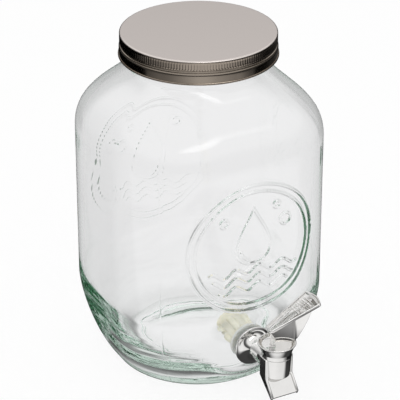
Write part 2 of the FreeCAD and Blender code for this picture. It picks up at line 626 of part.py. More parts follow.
def make_valve_plug():
    """The hollow plug: a side port that meets the inlet when open, ring grooves, stem and square drive."""
    body = tap_piece("valve_plug")
    shoulder = f"{BARREL_TOP} - running_clearance"
    groove_half = "(ring_section + ring_room)"
    points = [("0", PLUG_FOOT), ("plug_radius", PLUG_FOOT)]
    for number in range(2):
        middle = f"({LOWER_RING} + {number} * ring_pitch)"
        points += [
            ("plug_radius", f"{middle} - {groove_half}"),
            (GROOVE_RADIUS, f"{middle} - {groove_half}"),
            (GROOVE_RADIUS, f"{middle} + {groove_half}"),
            ("plug_radius", f"{middle} + {groove_half}"),
        ]
    points += [
        ("plug_radius", shoulder),
        (PLUG_STEM_RADIUS, shoulder),
        (PLUG_STEM_RADIUS, HUB_FOOT),
        ("0", HUB_FOOT),
    ]
    turned(body, "plug", points)
    drive = new_sketch(body, "drive_square", "XY_Plane", HUB_FOOT)
    outline(drive, [
        ("-drive_half", "-drive_half"),
        ("drive_half", "-drive_half"),
        ("drive_half", "drive_half"),
        ("-drive_half", "drive_half"),
    ])
    feature(body, "Pad", "drive", drive, Length="drive_height")
    hollow = new_sketch(body, "hollow_round", "XY_Plane", HOLLOW_TOP)
    circle(hollow, "plug_radius - plug_wall")
    feature(body, "Pocket", "hollow", hollow, Length=f"{HOLLOW_TOP} - {PLUG_FOOT}")
    port = new_sketch(body, "port_round", "YZ_Plane")
    circle(port, "waterway_radius")
    feature(body, "Pocket", "port", port, Length="plug_radius")


def make_seal_rings():
    """The two rubber rings on the plug."""
    for number, label in enumerate(("lower_o_ring", "upper_o_ring")):
        body = tap_piece(label)
        section = new_sketch(body, f"{label}_section", "XZ_Plane")
        circle(section, "ring_section", RING_CENTRE, f"{LOWER_RING} + {number} * ring_pitch")
        feature(body, "Revolution", f"{label}_ring", section, ReferenceAxis=(section, ["V_Axis"]), Angle=360)


def paddle_sketch(body, name, depth):
    """A sketch on the paddle's sloping face, or at a depth below it. Its X runs along the paddle."""
    sketch = new_sketch(body, name, "XY_Plane")
    sketch.AttachmentOffset = FreeCAD.Placement(vector(), FreeCAD.Rotation(vector(0, -1, 0), 1))
    bind(sketch, "AttachmentOffset.Rotation.Angle", "lever_angle")
    bind(sketch, "AttachmentOffset.Base.x", f"({depth}) * sin(lever_angle * 1 deg)")
    bind(sketch, "AttachmentOffset.Base.z", f"paddle_height - ({depth}) * cos(lever_angle * 1 deg)")
    return sketch


def paddle_outline(sketch, border):
    """The paddle's plan, drawn in by a border: narrow square back end, wide bowed tip."""
    tip_half = f"(paddle_tip_half - {border})"
    bow = f"({tip_half} ^ 2 + paddle_bow ^ 2) / (2 * paddle_bow)"
    outline(sketch, [
        (f"{border} - paddle_back", f"{border} - paddle_back_half"),
        (f"paddle_front - {border}", f"-{tip_half}", bow, 1),
        (f"paddle_front - {border}", tip_half),
        (f"{border} - paddle_back", f"paddle_back_half - {border}"),
    ])


def make_lever_handle():
    """Hub disc, web and sloping paddle with a bordered panel and grip ribs."""
    body = tap_piece("lever_handle")
    hub = new_sketch(body, "hub_round", "XY_Plane", HUB_FOOT)
    circle(hub, "hub_radius")
    feature(body, "Pad", "hub", hub, Length="hub_thickness")

    slope = "tan(lever_angle * 1 deg)"
    inside = "(paddle_height - paddle_thickness / 2)"
    hub_middle = f"({HUB_FOOT} + hub_thickness / 2)"
    back_end = "(paddle_back * cos(lever_angle * 1 deg))"
    tip_corner = "(paddle_front * cos(lever_angle * 1 deg))"
    web_tip = f"({tip_corner} - web_tip_inset)"
    nose = f"({tip_corner} - web_nose_inset)"
    front_foot = "hub_radius - web_foot_inset"
    over_lip = f"{COLLAR_TOP} + lever_clearance"
    web = new_sketch(body, "web_side", "XZ_Plane")
    outline(web, [
        (f"-{SOCKET_HALF} - web_back_wall", hub_middle),
        (front_foot, hub_middle),
        (front_foot, over_lip),
        (f"{COLLAR_RADIUS} + web_overhang", over_lip, "web_knee_radius", 1),
        (nose, f"paddle_height + {nose} * {slope} - web_nose_depth"),
        (web_tip, f"{inside} + {web_tip} * {slope}"),
        (f"-{back_end}", f"{inside} - {back_end} * {slope}", "web_rear_radius", -1),
    ])
    feature(body, "Pad", "web", web, Length="2 * paddle_back_half", SideType="Symmetric")
    for side, name in ((-1, "near"), (1, "far")):
        flank = new_sketch(body, f"{name}_flank", "XY_Plane", HUB_TOP)
        outline(flank, [
            ("web_taper_start", f"{side} * paddle_back_half"),
            (web_tip, f"{side} * web_tip_half"),
            (web_tip, f"{side} * 2 * paddle_back_half"),
            ("web_taper_start", f"{side} * 2 * paddle_back_half"),
        ])
        feature(body, "Pocket", f"{name}_taper", flank, Length="2 * paddle_height", Reversed=True)

    plan = paddle_sketch(body, "paddle_plan", "paddle_thickness")
    paddle_outline(plan, "0")
    feature(body, "Pad", "paddle", plan, Length="paddle_thickness")
    panel = paddle_sketch(body, "panel_plan", "0")
    paddle_outline(panel, "paddle_border")
    feature(body, "Pocket", "panel", panel, Length="panel_depth")
    rib = paddle_sketch(body, "rib_plan", "panel_depth")
    rib_start = "paddle_front - rib_inset"
    rib_half = "(paddle_back_half + paddle_tip_half) / 2 - paddle_border"
    outline(rib, [
        (f"{rib_start} - rib_width", f"-({rib_half})"),
        (rib_start, f"-({rib_half})"),
        (rib_start, rib_half),
        (f"{rib_start} - rib_width", rib_half),
    ])
    grip = feature(body, "Pad", "grip_rib", rib, Length="panel_depth / 2")
    doc.recompute()
    ribs = body.newObject("PartDesign::LinearPattern", "grip_ribs")
    ribs.Originals = [grip]
    ribs.Direction = (rib, ["H_Axis"])
    ribs.Reversed = True
    bind(ribs, "Occurrences", "rib_count")
    bind(ribs, "Length", "(rib_count - 1) * rib_pitch")
    body.Tip = ribs

    socket = new_sketch(body, "socket_square", "XY_Plane", HUB_FOOT)
    outline(socket, [
        (f"-{SOCKET_HALF}", f"-{SOCKET_HALF}"),
        (SOCKET_HALF, f"-{SOCKET_HALF}"),
        (SOCKET_HALF, SOCKET_HALF),
        (f"-{SOCKET_HALF}", SOCKET_HALF),
    ])
    feature(body, "Pocket", "drive_socket", socket, Length="drive_height + glue_gap", Reversed=True)


def make_inlet_shank():
    """The tube through the glass, with the spigot that is fixed in the tap's neck."""
    body = clamp_piece("inlet_shank")
    tail = f"-({NUT_SEAT} + nut_height + shank_tail)"
    turned(body, "shank", [
        ("waterway_radius", "spigot_length"),
        ("waterway_radius", tail),
        ("shank_radius", tail),
        ("shank_radius", "0"),
        (SPIGOT_RADIUS, "0"),
        (SPIGOT_RADIUS, "spigot_length"),
    ])


def make_washers():
    """The soft washers on the two faces of the glass."""
    for label, seat, thickness in (
        ("outer_washer", "-outer_washer", "outer_washer"),
        ("inner_washer", f"-{NUT_SEAT}", "inner_washer"),
    ):
        body = clamp_piece(label)
        rounds = new_sketch(body, f"{label}_rounds", "XY_Plane", seat)
        circle(rounds, WASHER_RADIUS)
        circle(rounds, "shank_radius + washer_clearance")
        feature(body, "Pad", f"{label}_ring", rounds, Length=thickness)


def make_lock_nut():
    """The lobed nut that draws the tap against the glass."""
    body = clamp_piece("lock_nut")
    foot = new_sketch(body, "nut_flange_round", "XY_Plane", f"-{NUT_SEAT}")
    circle(foot, f"{NUT_RADIUS} + nut_step")
    feature(body, "Pad", "nut_flange", foot, Length="nut_flange", Reversed=True)
    core = new_sketch(body, "nut_round", "XY_Plane", f"-{NUT_SEAT}")
    circle(core, NUT_RADIUS)
    feature(body, "Pad", "nut_core", core, Length="nut_height", Reversed=True)
    lobe_plan = new_sketch(body, "lobe_round", "XY_Plane", f"-{NUT_SEAT}")
    circle(lobe_plan, "nut_lobe_radius", f"{NUT_RADIUS} + nut_step - nut_lobe_radius")
    lobe = feature(body, "Pad", "lobe", lobe_plan, Length="nut_height", Reversed=True)
    doc.recompute()
    lobes = body.newObject("PartDesign::PolarPattern", "lobes")
    lobes.Originals = [lobe]
    lobes.Axis = (lobe_plan, ["N_Axis"])
    lobes.Angle = 360
    bind(lobes, "Occurrences", "nut_lobes")
    body.Tip = lobes
    bore = new_sketch(body, "nut_bore_round", "XY_Plane", f"-{NUT_SEAT}")
    circle(bore, "shank_radius + glue_gap")
    feature(body, "Pocket", "nut_bore", bore, Length="nut_height")


make_glass_jar()
make_lid()
make_lid_liner()
make_tap_body()
make_retaining_collar()
make_valve_plug()
make_seal_rings()
make_lever_handle()
make_inlet_shank()
make_washers()
make_lock_nut()
doc.recompute()

CUTS = ("PartDesign::Pocket", "PartDesign::Groove", "PartDesign::SubtractiveLoft")
LEAST_CUT = 0.001
for item in doc.Objects:
    if "Invalid" in item.State or "Error" in item.State:
        raise RuntimeError(f"{item.Label} did not build: {item.State}")
    if item.TypeId in CUTS and item.BaseFeature.Shape.Volume - item.Shape.Volume < LEAST_CUT:
        raise RuntimeError(f"{item.Label} cuts nothing")

pieces = [item for item in doc.Objects if item.TypeId == "PartDesign::Body"]
for piece in pieces:
    if piece.Shape.isNull() or not piece.Shape.isValid() or len(piece.Shape.Solids) != 1:
        raise RuntimeError(f"{piece.Label} is not one sound solid")

os.makedirs("parts", exist_ok=True)
for piece in pieces:
    piece.Shape.exportStep(f"parts/{piece.Label}.step")
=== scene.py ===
"""Looks of a glass jar dispenser: moulded glass, a pressed lid and a small plated tap."""

import math

import bpy
import numpy as np
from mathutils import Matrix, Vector


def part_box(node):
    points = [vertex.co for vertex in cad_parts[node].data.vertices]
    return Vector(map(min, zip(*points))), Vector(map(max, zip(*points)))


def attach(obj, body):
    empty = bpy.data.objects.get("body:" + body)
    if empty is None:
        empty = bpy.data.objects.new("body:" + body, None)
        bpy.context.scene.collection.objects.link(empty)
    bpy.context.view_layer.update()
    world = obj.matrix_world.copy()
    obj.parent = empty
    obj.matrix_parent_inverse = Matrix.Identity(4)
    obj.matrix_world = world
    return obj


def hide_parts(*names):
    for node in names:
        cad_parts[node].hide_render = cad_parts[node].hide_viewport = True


bl_info = {
    "name": "Glass jar dispenser",
    "version": (1, 0, 0),
    "blender": (4, 5, 0),
    "location": "View3D > Sidebar > Jar",
    "description": "Dresses the solids of a glass jar with a screw lid and a turning tap",
    "category": "Add Mesh",
}

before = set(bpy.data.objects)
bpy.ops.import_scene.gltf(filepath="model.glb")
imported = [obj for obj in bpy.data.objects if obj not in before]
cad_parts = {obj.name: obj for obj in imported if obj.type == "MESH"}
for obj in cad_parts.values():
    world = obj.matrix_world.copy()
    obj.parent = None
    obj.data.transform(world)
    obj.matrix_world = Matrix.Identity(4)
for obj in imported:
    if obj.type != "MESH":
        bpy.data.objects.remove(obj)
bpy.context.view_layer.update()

# Places read from the solids
JAR_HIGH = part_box("glass_jar")[1]
LID_LOW, LID_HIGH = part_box("lid_shell")
PLUG_LOW, PLUG_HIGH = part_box("valve_plug")
SHANK_LOW, SHANK_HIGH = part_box("inlet_shank")
NUT_LOW, NUT_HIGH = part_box("lock_nut")
OUTER_WASHER_LOW, OUTER_WASHER_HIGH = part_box("outer_washer")
INNER_WASHER_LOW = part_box("inner_washer")[0]
BARREL_Y = (PLUG_LOW.y + PLUG_HIGH.y) / 2
TAP_Z = (SHANK_LOW.z + SHANK_HIGH.z) / 2
TURN = 2 * math.pi

# Shares of the tap hole's radius at which the block left out of the glass's grid ends, up and across
HOLE_TALL, HOLE_WIDE = 0.9, 0.86

# Roundings of small edges
FINE_ROUND, SOFT_ROUND = 0.0002, 0.0004

# The stage, with the camera as fitted to the photograph
CAMERA_ROUND, CAMERA_ABOVE = math.radians(28.22), math.radians(27.14)
CAMERA_AWAY = 1.5039
LENS, SENSOR = 186.6, 36.0
SHIFT_X, SHIFT_Y = 0.0036, -0.0225
FLOOR_REACH, FLOOR_DROP, FLOOR_SIDES = 1.6, 0.0002, 96
STRIPS_WIDTH = 1.2
LIGHT_BOUNCES = 96

# Ray depths between which sight through glass turns deep: straight sight through the jar crosses four faces
DEEP_SIGHT = 4.5, 6.5


def length(default, name, description):
    """A size in metres."""
    return bpy.props.FloatProperty(name=name, description=description, default=default, unit="LENGTH",
                                   precision=5)


def number(default, name, description):
    """A plain number, such as a power or a count of turns."""
    return bpy.props.FloatProperty(name=name, description=description, default=default)


def angle(default, name, description):
    """An angle in radians."""
    return bpy.props.FloatProperty(name=name, description=description, default=default, subtype="ANGLE")


def colour(default, name, description):
    """A colour in linear light."""
    return bpy.props.FloatVectorProperty(name=name, description=description, default=default, size=3,
                                         subtype="COLOR", min=0.0, max=1.0)


class JarSizes(bpy.types.PropertyGroup):
    """Sizes of the moulded glass."""

    body_half: length(JAR_HIGH.x, "Body half", "half the width of the body, flat to flat")
    flat_half: length(0.0229, "Flat half", "half the length of each flat between two corners")
    neck_flat: length(0.0004, "Neck flat", "half the flat left on the round sections")
    foot_radius: length(0.061, "Foot radius", "radius of the round foot")
    heel_height: length(0.0593, "Heel height", "height of the heel")
    heel_power: number(1.5, "Heel power", "roundness of the heel's curve")
    wall_top: length(0.1745, "Wall top", "height at which the shoulder begins")
    shoulder_height: length(0.0542, "Shoulder height", "height of the shoulder")
    shoulder_power: number(2.73, "Shoulder power", "fullness of the shoulder")
    shoulder_ease: number(2.03, "Shoulder ease", "sweep of the shoulder into the throat")
    flat_ease: number(0.4, "Flat ease", "how slowly the shoulder's flats close")
    throat_radius: length(0.049, "Throat radius", "outer radius of the throat")
    ring_foot: length(0.237, "Ring foot", "height at which the threaded ring begins")
    ring_radius: length(0.0524, "Ring radius", "radius of the threaded ring")
    mouth_radius: length(0.0445, "Mouth radius", "radius of the mouth")
    rim_height: length(JAR_HIGH.z, "Rim height", "height of the rim")
    rim_round: length(0.002, "Rim round", "rounding of the rim")
    wall: length(0.0045, "Wall", "glass thickness of the upright wall")
    floor_height: length(0.010, "Floor height", "height of the inside floor")
    floor_radius: length(0.052, "Floor radius", "radius of the inside floor")
    heel_step: length(0.004, "Heel step", "how much higher the inside heel ends")
    shoulder_drop: length(0.003, "Shoulder drop", "how much lower the inside shoulder lies")
    push_up_radius: length(0.047, "Push-up radius", "radius of the hollow under the foot")
    push_up_depth: length(0.0045, "Push-up depth", "depth of the hollow under the foot")
    groove_depth: length(0.0010, "Groove depth", "depth of the wavering groove at the hollow's edge")
    groove_half: length(0.0022, "Groove half", "half the width of that groove")
    groove_sway: length(0.0005, "Groove sway", "how far that groove wavers to either side")
    thread_start: length(0.2405, "Thread start", "height of the glass thread's lower end")
    thread_pitch: length(0.00508, "Thread pitch", "rise of the thread in one turn")
    thread_turns: number(1.25, "Thread turns", "turns of the glass thread")
    thread_depth: length(0.0015, "Thread depth", "how far the glass thread stands out")
    thread_width: length(0.0022, "Thread width", "width of the glass thread")
    hole_radius: length(0.0086, "Hole radius", "radius of the tap hole")
    pad_radius: length(0.0136, "Pad radius", "radius of the flat pads around the tap hole")
    pad_blend: length(0.020, "Pad blend", "width over which the outer pad runs out into the heel")
    inner_blend: length(0.028, "Inner blend", "width over which the inner pad runs out into the heel")
    seam_height: length(0.00022, "Seam height", "how far the mould seam stands out")
    seam_half: length(0.0005, "Seam half", "half the width of the mould seam")
    ripple: length(0.00022, "Ripple", "unevenness of the inside wall")


class MotifSizes(bpy.types.PropertyGroup):
    """Sizes of the raised drop-and-waves design on the front and back."""

    centre_height: length(0.118, "Centre height", "height of the design's centre")
    oval_half_width: length(0.050, "Oval half width", "half the width of the outer oval")
    oval_half_height: length(0.049, "Oval half height", "half the height of the outer oval")
    oval_gap: length(0.0052, "Oval gap", "distance between the two ovals")
    drop_half_height: length(0.0215, "Drop half height", "half the height of the drop")
    drop_half_width: length(0.0150, "Drop half width", "half the width of the drop")
    wave_pitch: length(0.0185, "Wave pitch", "length of one wave")
    wave_swing: length(0.0026, "Wave swing", "height of a wave above its line")
    line_half: length(0.0015, "Line half", "half the width of a raised line")
    line_height: length(0.0017, "Line height", "how far a raised line stands out")
    back_share: number(0.25, "Back share", "how far the back's lines stand out against the front's")


class LidSizes(bpy.types.PropertyGroup):
    """Sizes of the pressed lid."""

    top: length(LID_HIGH.z, "Top", "height of the lid's top")
    foot: length(LID_LOW.z, "Foot", "height of the curled edge's underside")
    band_radius: length(0.0556, "Band radius", "radius over the knurls")
    band_height: length(0.0067, "Band height", "depth of the knurled band below the top")
    groove: length(0.0007, "Groove", "depth of the groove under the band")
    skirt_radius: length(0.0560, "Skirt radius", "largest radius of the plain skirt")
    curl_radius: length(0.0009, "Curl radius", "radius of the curled edge")
    sheet: length(0.0005, "Sheet", "thickness of the sheet")
    edge: length(0.0012, "Edge", "rounding of the top's edge")
    knurls: bpy.props.IntProperty(name="Knurls", description="number of knurls around the band", default=176)
    knurl_depth: length(0.00025, "Knurl depth", "depth of the knurls")
    thread_start: length(0.23796, "Thread start", "height of the rolled thread's lower end")
    thread_turns: number(0.6, "Thread turns", "turns of the rolled thread")
    thread_depth: length(0.0024, "Thread depth", "how far the rolled thread stands in")
    thread_width: length(0.0018, "Thread width", "width of the rolled thread")


class TapSizes(bpy.types.PropertyGroup):
    """Sizes of the tap, about the barrel's axis and the inlet's height."""

    flange_back: length(OUTER_WASHER_LOW.y, "Flange back", "place of the flange's back face along the inlet")
    flange_radius: length(0.0147, "Flange radius", "radius of the flange")
    flange_rim: length(0.0014, "Flange rim", "thickness of the flange's rim")
    flare: length(0.008, "Flare", "length over which the flange runs into the neck")
    neck_radius: length(0.0068, "Neck radius", "radius of the neck")
    inlet_bore: length(0.0053, "Inlet bore", "radius of the socket for the shank's spigot")
    barrel_foot: length(-0.005, "Barrel foot", "height of the barrel's foot")
    barrel_top: length(0.0101, "Barrel top", "height of the barrel's top")
    foot_radius: length(0.0096, "Foot radius", "radius of the barrel's foot")
    top_radius: length(0.0104, "Top radius", "radius of the barrel's top")
    bore: length(0.00785, "Bore", "radius of the barrel's bore")
    stem_radius: length(0.0094, "Stem radius", "radius of the stem inside the collar")
    stem_top: length(0.0147, "Stem top", "height of that stem")
    outlet: length(0.005, "Outlet", "radius of the outlet in the barrel's floor")
    side_half: length(0.011, "Side half", "half the width over the side plates")
    side_inside: length(0.0082, "Side inside", "inner face of a side plate, inside the barrel's wall")
    side_front: length(-0.004, "Side front", "front face of the side plates")
    side_back: length(0.0046, "Side back", "back face of the side plates")
    lip_front: length(-0.01305, "Lip front", "how far forward the spout's lip reaches")
    lip_top: length(-0.0156, "Lip top", "height of the lip's front edge")
    lip_back: length(-0.01175, "Lip back", "place of the lip's rear edge")
    lip_foot: length(-0.0182, "Lip foot", "height of the lip's rear edge")
    plate_recess: length(0.0009, "Plate recess", "how deep the spout's front plate lies")
    plate_inside: length(0.0022, "Plate inside", "depth of the spout's chamber behind its borders")
    chamber_half: length(0.0092, "Chamber half", "half the width of the spout's chamber")
    bend: length(0.0005, "Bend", "rounding of the tap's edges")


class CollarSizes(bpy.types.PropertyGroup):
    """Sizes of the flared collar, about the barrel's axis."""

    foot: length(0.0101, "Foot", "height of the collar's foot")
    foot_radius: length(0.0107, "Foot radius", "radius of the collar's foot")
    band: length(0.003, "Band", "height of the plain band at the foot")
    floor_bottom: length(0.0148, "Floor bottom", "underside of the cup's floor")
    floor_top: length(0.01615, "Floor top", "height of the cup's floor")
    waist_radius: length(0.0118, "Waist radius", "outer radius at the cup's floor")
    flare_height: length(0.0191, "Flare height", "height at which the lip begins")
    flare_radius: length(0.0128, "Flare radius", "outer radius below the lip")
    lip_radius: length(0.0137, "Lip radius", "radius of the lip")
    top: length(0.0205, "Top", "height of the lip")
    cup_radius: length(0.0112, "Cup radius", "inside radius at the cup's floor")
    cup_mouth: length(0.0127, "Cup mouth", "inside radius at the lip")
    hole: length(0.0066, "Hole", "radius of the hole for the plug's stem")
    stem_radius: length(0.00945, "Stem radius", "radius of the socket for the barrel's stem")


class LeverSizes(bpy.types.PropertyGroup):
    """Sizes of the lever, about the barrel's axis and the inlet's height."""

    pitch: angle(math.radians(24), "Pitch", "rise of the paddle")
    paddle_height: length(0.0361, "Paddle height", "height of the paddle's face over the axis")
    paddle_back: length(-0.0085, "Paddle back", "rear end of the paddle along its face")
    paddle_tip: length(0.031, "Paddle tip", "corners of the paddle's tip along its face")
    tip_bow: length(0.0026, "Tip bow", "how far the tip bows out between its corners")
    back_half: length(0.0042, "Back half", "half the width of the rear end")
    tip_half: length(0.0106, "Tip half", "half the width of the tip")
    thickness: length(0.0026, "Thickness", "thickness of the paddle")
    border: length(0.0015, "Border", "width of the border around the panel")
    panel_depth: length(0.0010, "Panel depth", "depth of the sunk panel")
    ribs: bpy.props.IntProperty(name="Ribs", description="number of finger ribs", default=7)
    rib_start: length(0.0046, "Rib start", "from the tip's corners to the first rib")
    rib_pitch: length(0.0019, "Rib pitch", "distance between ribs")
    rib_half: length(0.0005, "Rib half", "half the width of a rib")
    edge: length(0.0008, "Edge", "rounding of the paddle's edges")
    web_half: length(0.0042, "Web half", "half the web's thickness at its foot")
    web_tip_half: length(0.0008, "Web tip half", "half the web's thickness at its tip")
    web_taper: length(0.012, "Web taper", "where the web begins to taper")
    web_bend: length(0.0004, "Web bend", "rounding of the web's edges")
    hub_radius: length(0.0108, "Hub radius", "radius of the hub disc")
    hub_foot: length(0.01655, "Hub foot", "underside of the hub disc")
    hub_top: length(0.01915, "Hub top", "top of the hub disc")


class InletSizes(bpy.types.PropertyGroup):
    """Sizes of the shank and the lock nut inside the jar."""

    shank_radius: length(SHANK_HIGH.x, "Shank radius", "radius over the shank's thread")
    waterway: length(0.0033, "Waterway", "radius of the bore through the shank")
    spigot_radius: length(0.0052, "Spigot radius", "radius of the spigot in the tap's neck")
    thread_pitch: length(0.0021, "Thread pitch", "rise of the shank's thread")
    thread_depth: length(0.0006, "Thread depth", "depth of the shank's thread")
    nut_radius: length(0.0098, "Nut radius", "radius of the nut between its lobes")
    nut_flange: length(0.0025, "Nut flange", "thickness of the nut's flange")
    nut_bore: length(0.00805, "Nut bore", "radius of the nut's bore")
    lobes: bpy.props.IntProperty(name="Lobes", description="number of lobes on the nut", default=6)
    lobe_radius: length(0.0024, "Lobe radius", "radius of a lobe")


class Finishes(bpy.types.PropertyGroup):
    """Colours of the finishes."""

    glass_depth: colour((0.20, 0.57, 0.36), "Glass depth", "tint of thick glass")
    lid_top: colour((0.80, 0.735, 0.70), "Lid satin", "satin sheet of the lid's top")
    lid_dark: colour((0.70, 0.635, 0.60), "Lid shade", "darker grain of the top")
    # Band and side: the top's sheet, warmer, and darkened to about half as painted shade
    dull_band_painted_shade: colour((0.40, 0.34, 0.285), "Lid band", "duller knurled band")
    side_painted_shade: colour((0.38, 0.325, 0.27), "Lid side", "bright sheet of the lid's side")
    side_grain_painted_shade: colour((0.31, 0.265, 0.22), "Side shade", "darker grain of the side")
    chrome: colour((0.90, 0.89, 0.875), "Chrome", "bright plating")
    chrome_haze: colour((0.82, 0.81, 0.795), "Chrome haze", "faint haze on the plating")
    cream: colour((0.95, 0.87, 0.68), "Cream", "moulded cream plastic")
    cream_light: colour((0.97, 0.93, 0.82), "Cream light", "paler swirls of the cream plastic")
    liner: colour((0.80, 0.80, 0.78), "Liner", "soft white foam")
    plug: colour((0.82, 0.81, 0.77), "Plug", "moulded white plastic")
    milky: colour((0.92, 0.91, 0.86), "Milky rubber", "milky soft rubber")
    black: colour((0.02, 0.02, 0.022), "Black rubber", "black rubber")


def skin(rows, ends):
    """A closed skin over a grid of points, one ring of points in each row.

    Each point joins the next in its ring and its likeness in the next ring. ends says how the first and last
    rings shut: "poles" draws each into its middle, "strips" folds each ring in two and joins the halves, and
    "ring" joins the last ring to the first.
    """
    count, across = rows.shape[:2]
    ring = np.arange(across)
    after = np.roll(ring, -1)
    points = rows.reshape(-1, 3)
    if ends == "poles":
        points = np.concatenate([rows[0].mean(0)[None], rows[1:-1].reshape(-1, 3), rows[-1].mean(0)[None]])
        base = 1 + across * np.arange(count - 2)[:, None]
        last = len(points) - 1
        caps = [np.stack([np.zeros_like(ring), base[0] + after, base[0] + ring], 1),
                np.stack([np.full_like(ring, last), base[-1] + ring, base[-1] + after], 1)]
        lower, upper = base[:-1], base[1:]
    else:
        base = across * np.arange(count)[:, None]
        lower, upper = (base, np.roll(base, -1, 0)) if ends == "ring" else (base[:-1], base[1:])
        caps = []
    quads = np.stack([lower + ring, lower + after, upper + after, upper + ring], -1).reshape(-1, 4)
    if ends == "strips":
        near = np.arange(across // 2 - 1)
        far = across - 1 - near
        fold = np.stack([near, far, far - 1, near + 1], 1)
        quads = np.concatenate([quads, fold, fold[:, ::-1] + base[-1]])
    return outward(points, [quads] + caps)


def outward(points, faces):
    """The same closed skin with its faces out: its volume, the sum of the wedges under them, is positive."""
    volume = 0.0
    for group in faces:
        first = points[group[:, 0]]
        for i in range(1, group.shape[1] - 1):
            volume += np.einsum("ij,ij->", first, np.cross(points[group[:, i]], points[group[:, i + 1]]))
    return points, faces if volume > 0 else [group[:, ::-1] for group in faces]


def rounded(corners, steps):
    """A line through corners (across, up, rounding), each corner drawn as an arc of that radius.

    An arc turns evenly from the leg before it to the leg after, and a lead-in point stands a little way along
    each leg so that the shading stays flat beyond it.
    """
    points = []
    lead = 1.3
    for i, (across, up, bend) in enumerate(corners):
        here = np.array([across, up])
        if not bend:
            points.append(here[None])
            continue
        legs = [np.array(corners[j % len(corners)][:2]) - here for j in (i - 1, i + 1)]
        legs = [leg / np.linalg.norm(leg) for leg in legs]
        half = math.acos(np.clip(legs[0] @ legs[1], -1, 1)) / 2
        reach = bend / math.tan(half)
        middle = legs[0] + legs[1]
        centre = here + middle / np.linalg.norm(middle) * bend / math.sin(half)
        sweep = math.pi - 2 * half
        start, end = (here + leg * reach - centre for leg in legs)
        share = np.linspace(0, 1, steps + 1)[:, None]
        arc = centre + (np.sin((1 - share) * sweep) * start + np.sin(share * sweep) * end) / math.sin(sweep)
        points += [here + legs[0][None] * reach * lead, arc, here + legs[1][None] * reach * lead]
    return np.concatenate(points)


def full_turn(columns):
    """Equal steps of one turn about an axis."""
    return np.linspace(0, TURN, columns, endpoint=False)


def upright(radius, height):
    """A stretch of a profile: one radius at all the given heights."""
    return np.stack([np.full(len(height), radius), height], 1)


def spun(profile, columns, about="barrel"):
    """A profile of (radius, height) turned about the barrel's or the inlet's axis, one ring for each row."""
    turn = full_turn(columns)
    radius, height = profile[:, :1], profile[:, 1:] + np.zeros(columns)
    x, y = radius * np.cos(turn), radius * np.sin(turn)
    if about == "inlet":
        return np.stack([x, height, TAP_Z + y], -1)
    return np.stack([x, BARREL_Y + y, TAP_Z + height], -1)


def respun(rows, where, radius):
    """Gives some rings about the inlet's axis a radius that changes around the turn."""
    turn = full_turn(rows.shape[1])
    rows[where, :, 0] = radius * np.cos(turn)
    rows[where, :, 2] = TAP_Z + radius * np.sin(turn)


def smooth(share):
    """0 below 0, 1 above 1, and an even S between."""
    share = np.clip(share, 0, 1)
    return share * share * (3 - 2 * share)


def faded(share, reach, end=1.0):
    """1 along a stretch from 0 to its end, easing to 0 over the reach at both."""
    return smooth(share / reach) * smooth((end - share) / reach)


def bump(distance, half):
    """A round ridge: 1 on its line, and a squared cosine down to 0 at half its width away."""
    return np.cos(np.clip(np.abs(distance) / half, 0, 1) * math.pi / 2) ** 2


def helix_ridge(turn, height, start, pitch, turns, half):
    """A screw ridge: its line rises by the pitch in a turn, and both ends fade over a tenth of a turn."""
    ridge = np.zeros(np.broadcast(turn, height).shape)
    ending = 0.1
    for lap in range(math.ceil(turns)):
        along = turn / TURN + lap
        line = bump(height - start - pitch * along, half)
        ridge = np.maximum(ridge, faded(along, ending, turns) * line)
    return ridge


def make_piece(name, shells, finish, body, nodes, crease=math.radians(38), normals=None):
    """One object from closed shells, with its finish, its body and the solids that it stands for.

    Normals may be given for its points, and a zero there leaves the face's own.
    """
    points, faces, first = [], [], 0
    for shell_points, shell_faces in shells:
        points.append(shell_points)
        for group in shell_faces:
            faces += (group + first).tolist()
        first += len(shell_points)
    mesh = bpy.data.meshes.new(name)
    mesh.from_pydata(np.concatenate(points), [], faces)
    mesh.validate()
    mesh.shade_smooth()
    mesh.set_sharp_from_angle(angle=crease)
    if normals is not None:
        mesh.normals_split_custom_set_from_vertices(normals)
    mesh.materials.append(finish)
    piece = bpy.data.objects.new(name, mesh)
    bpy.context.scene.collection.objects.link(piece)
    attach(piece, body)
    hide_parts(*nodes)
    return piece


def new_finish(name):
    """A node material, its tree and its main shader."""
    finish = bpy.data.materials.new(name)
    finish.use_nodes = True
    return finish, finish.node_tree, finish.node_tree.nodes["Principled BSDF"]


def fill(tree, target, inputs):
    """Sets a node's inputs by name or number: each to a value, or by a link from a source."""
    for name, value in inputs.items():
        if isinstance(value, bpy.types.NodeSocket):
            tree.links.new(value, target.inputs[name])
        else:
            target.inputs[name].default_value = value


def node(tree, kind, inputs, **settings):
    """A new node with its settings and inputs."""
    made = tree.nodes.new("ShaderNode" + kind)
    for name, value in settings.items():
        setattr(made, name, value)
    fill(tree, made, inputs)
    return made


def object_place(tree):
    """The object's own coordinates."""
    return node(tree, "TexCoord", {}).outputs["Object"]


def object_height(tree):
    """Height in the object's own coordinates."""
    return node(tree, "SeparateXYZ", {0: object_place(tree)}).outputs["Z"]


def noise(tree, place, scale, detail):
    """Noise over a place."""
    return node(tree, "TexNoise", {"Vector": place, "Scale": scale, "Detail": detail}).outputs["Fac"]


def grain(tree, scale, detail, stretch=(1, 1, 1)):
    """Noise over the object's own coordinates, stretched along the axes."""
    mapping = node(tree, "Mapping", {"Vector": object_place(tree), "Scale": stretch})
    return noise(tree, mapping.outputs["Vector"], scale, detail)


def ring_grain(tree, scale):
    """Noise that changes only with height and distance from the jar's axis, as a turned brush leaves it."""
    flat = node(tree, "VectorMath", {0: object_place(tree), 1: (1, 1, 0)}, operation="MULTIPLY")
    far = node(tree, "VectorMath", {0: flat.outputs["Vector"]}, operation="LENGTH")
    join = node(tree, "CombineXYZ", {"X": far.outputs["Value"], "Y": object_height(tree)})
    return noise(tree, join.outputs["Vector"], scale, 3)


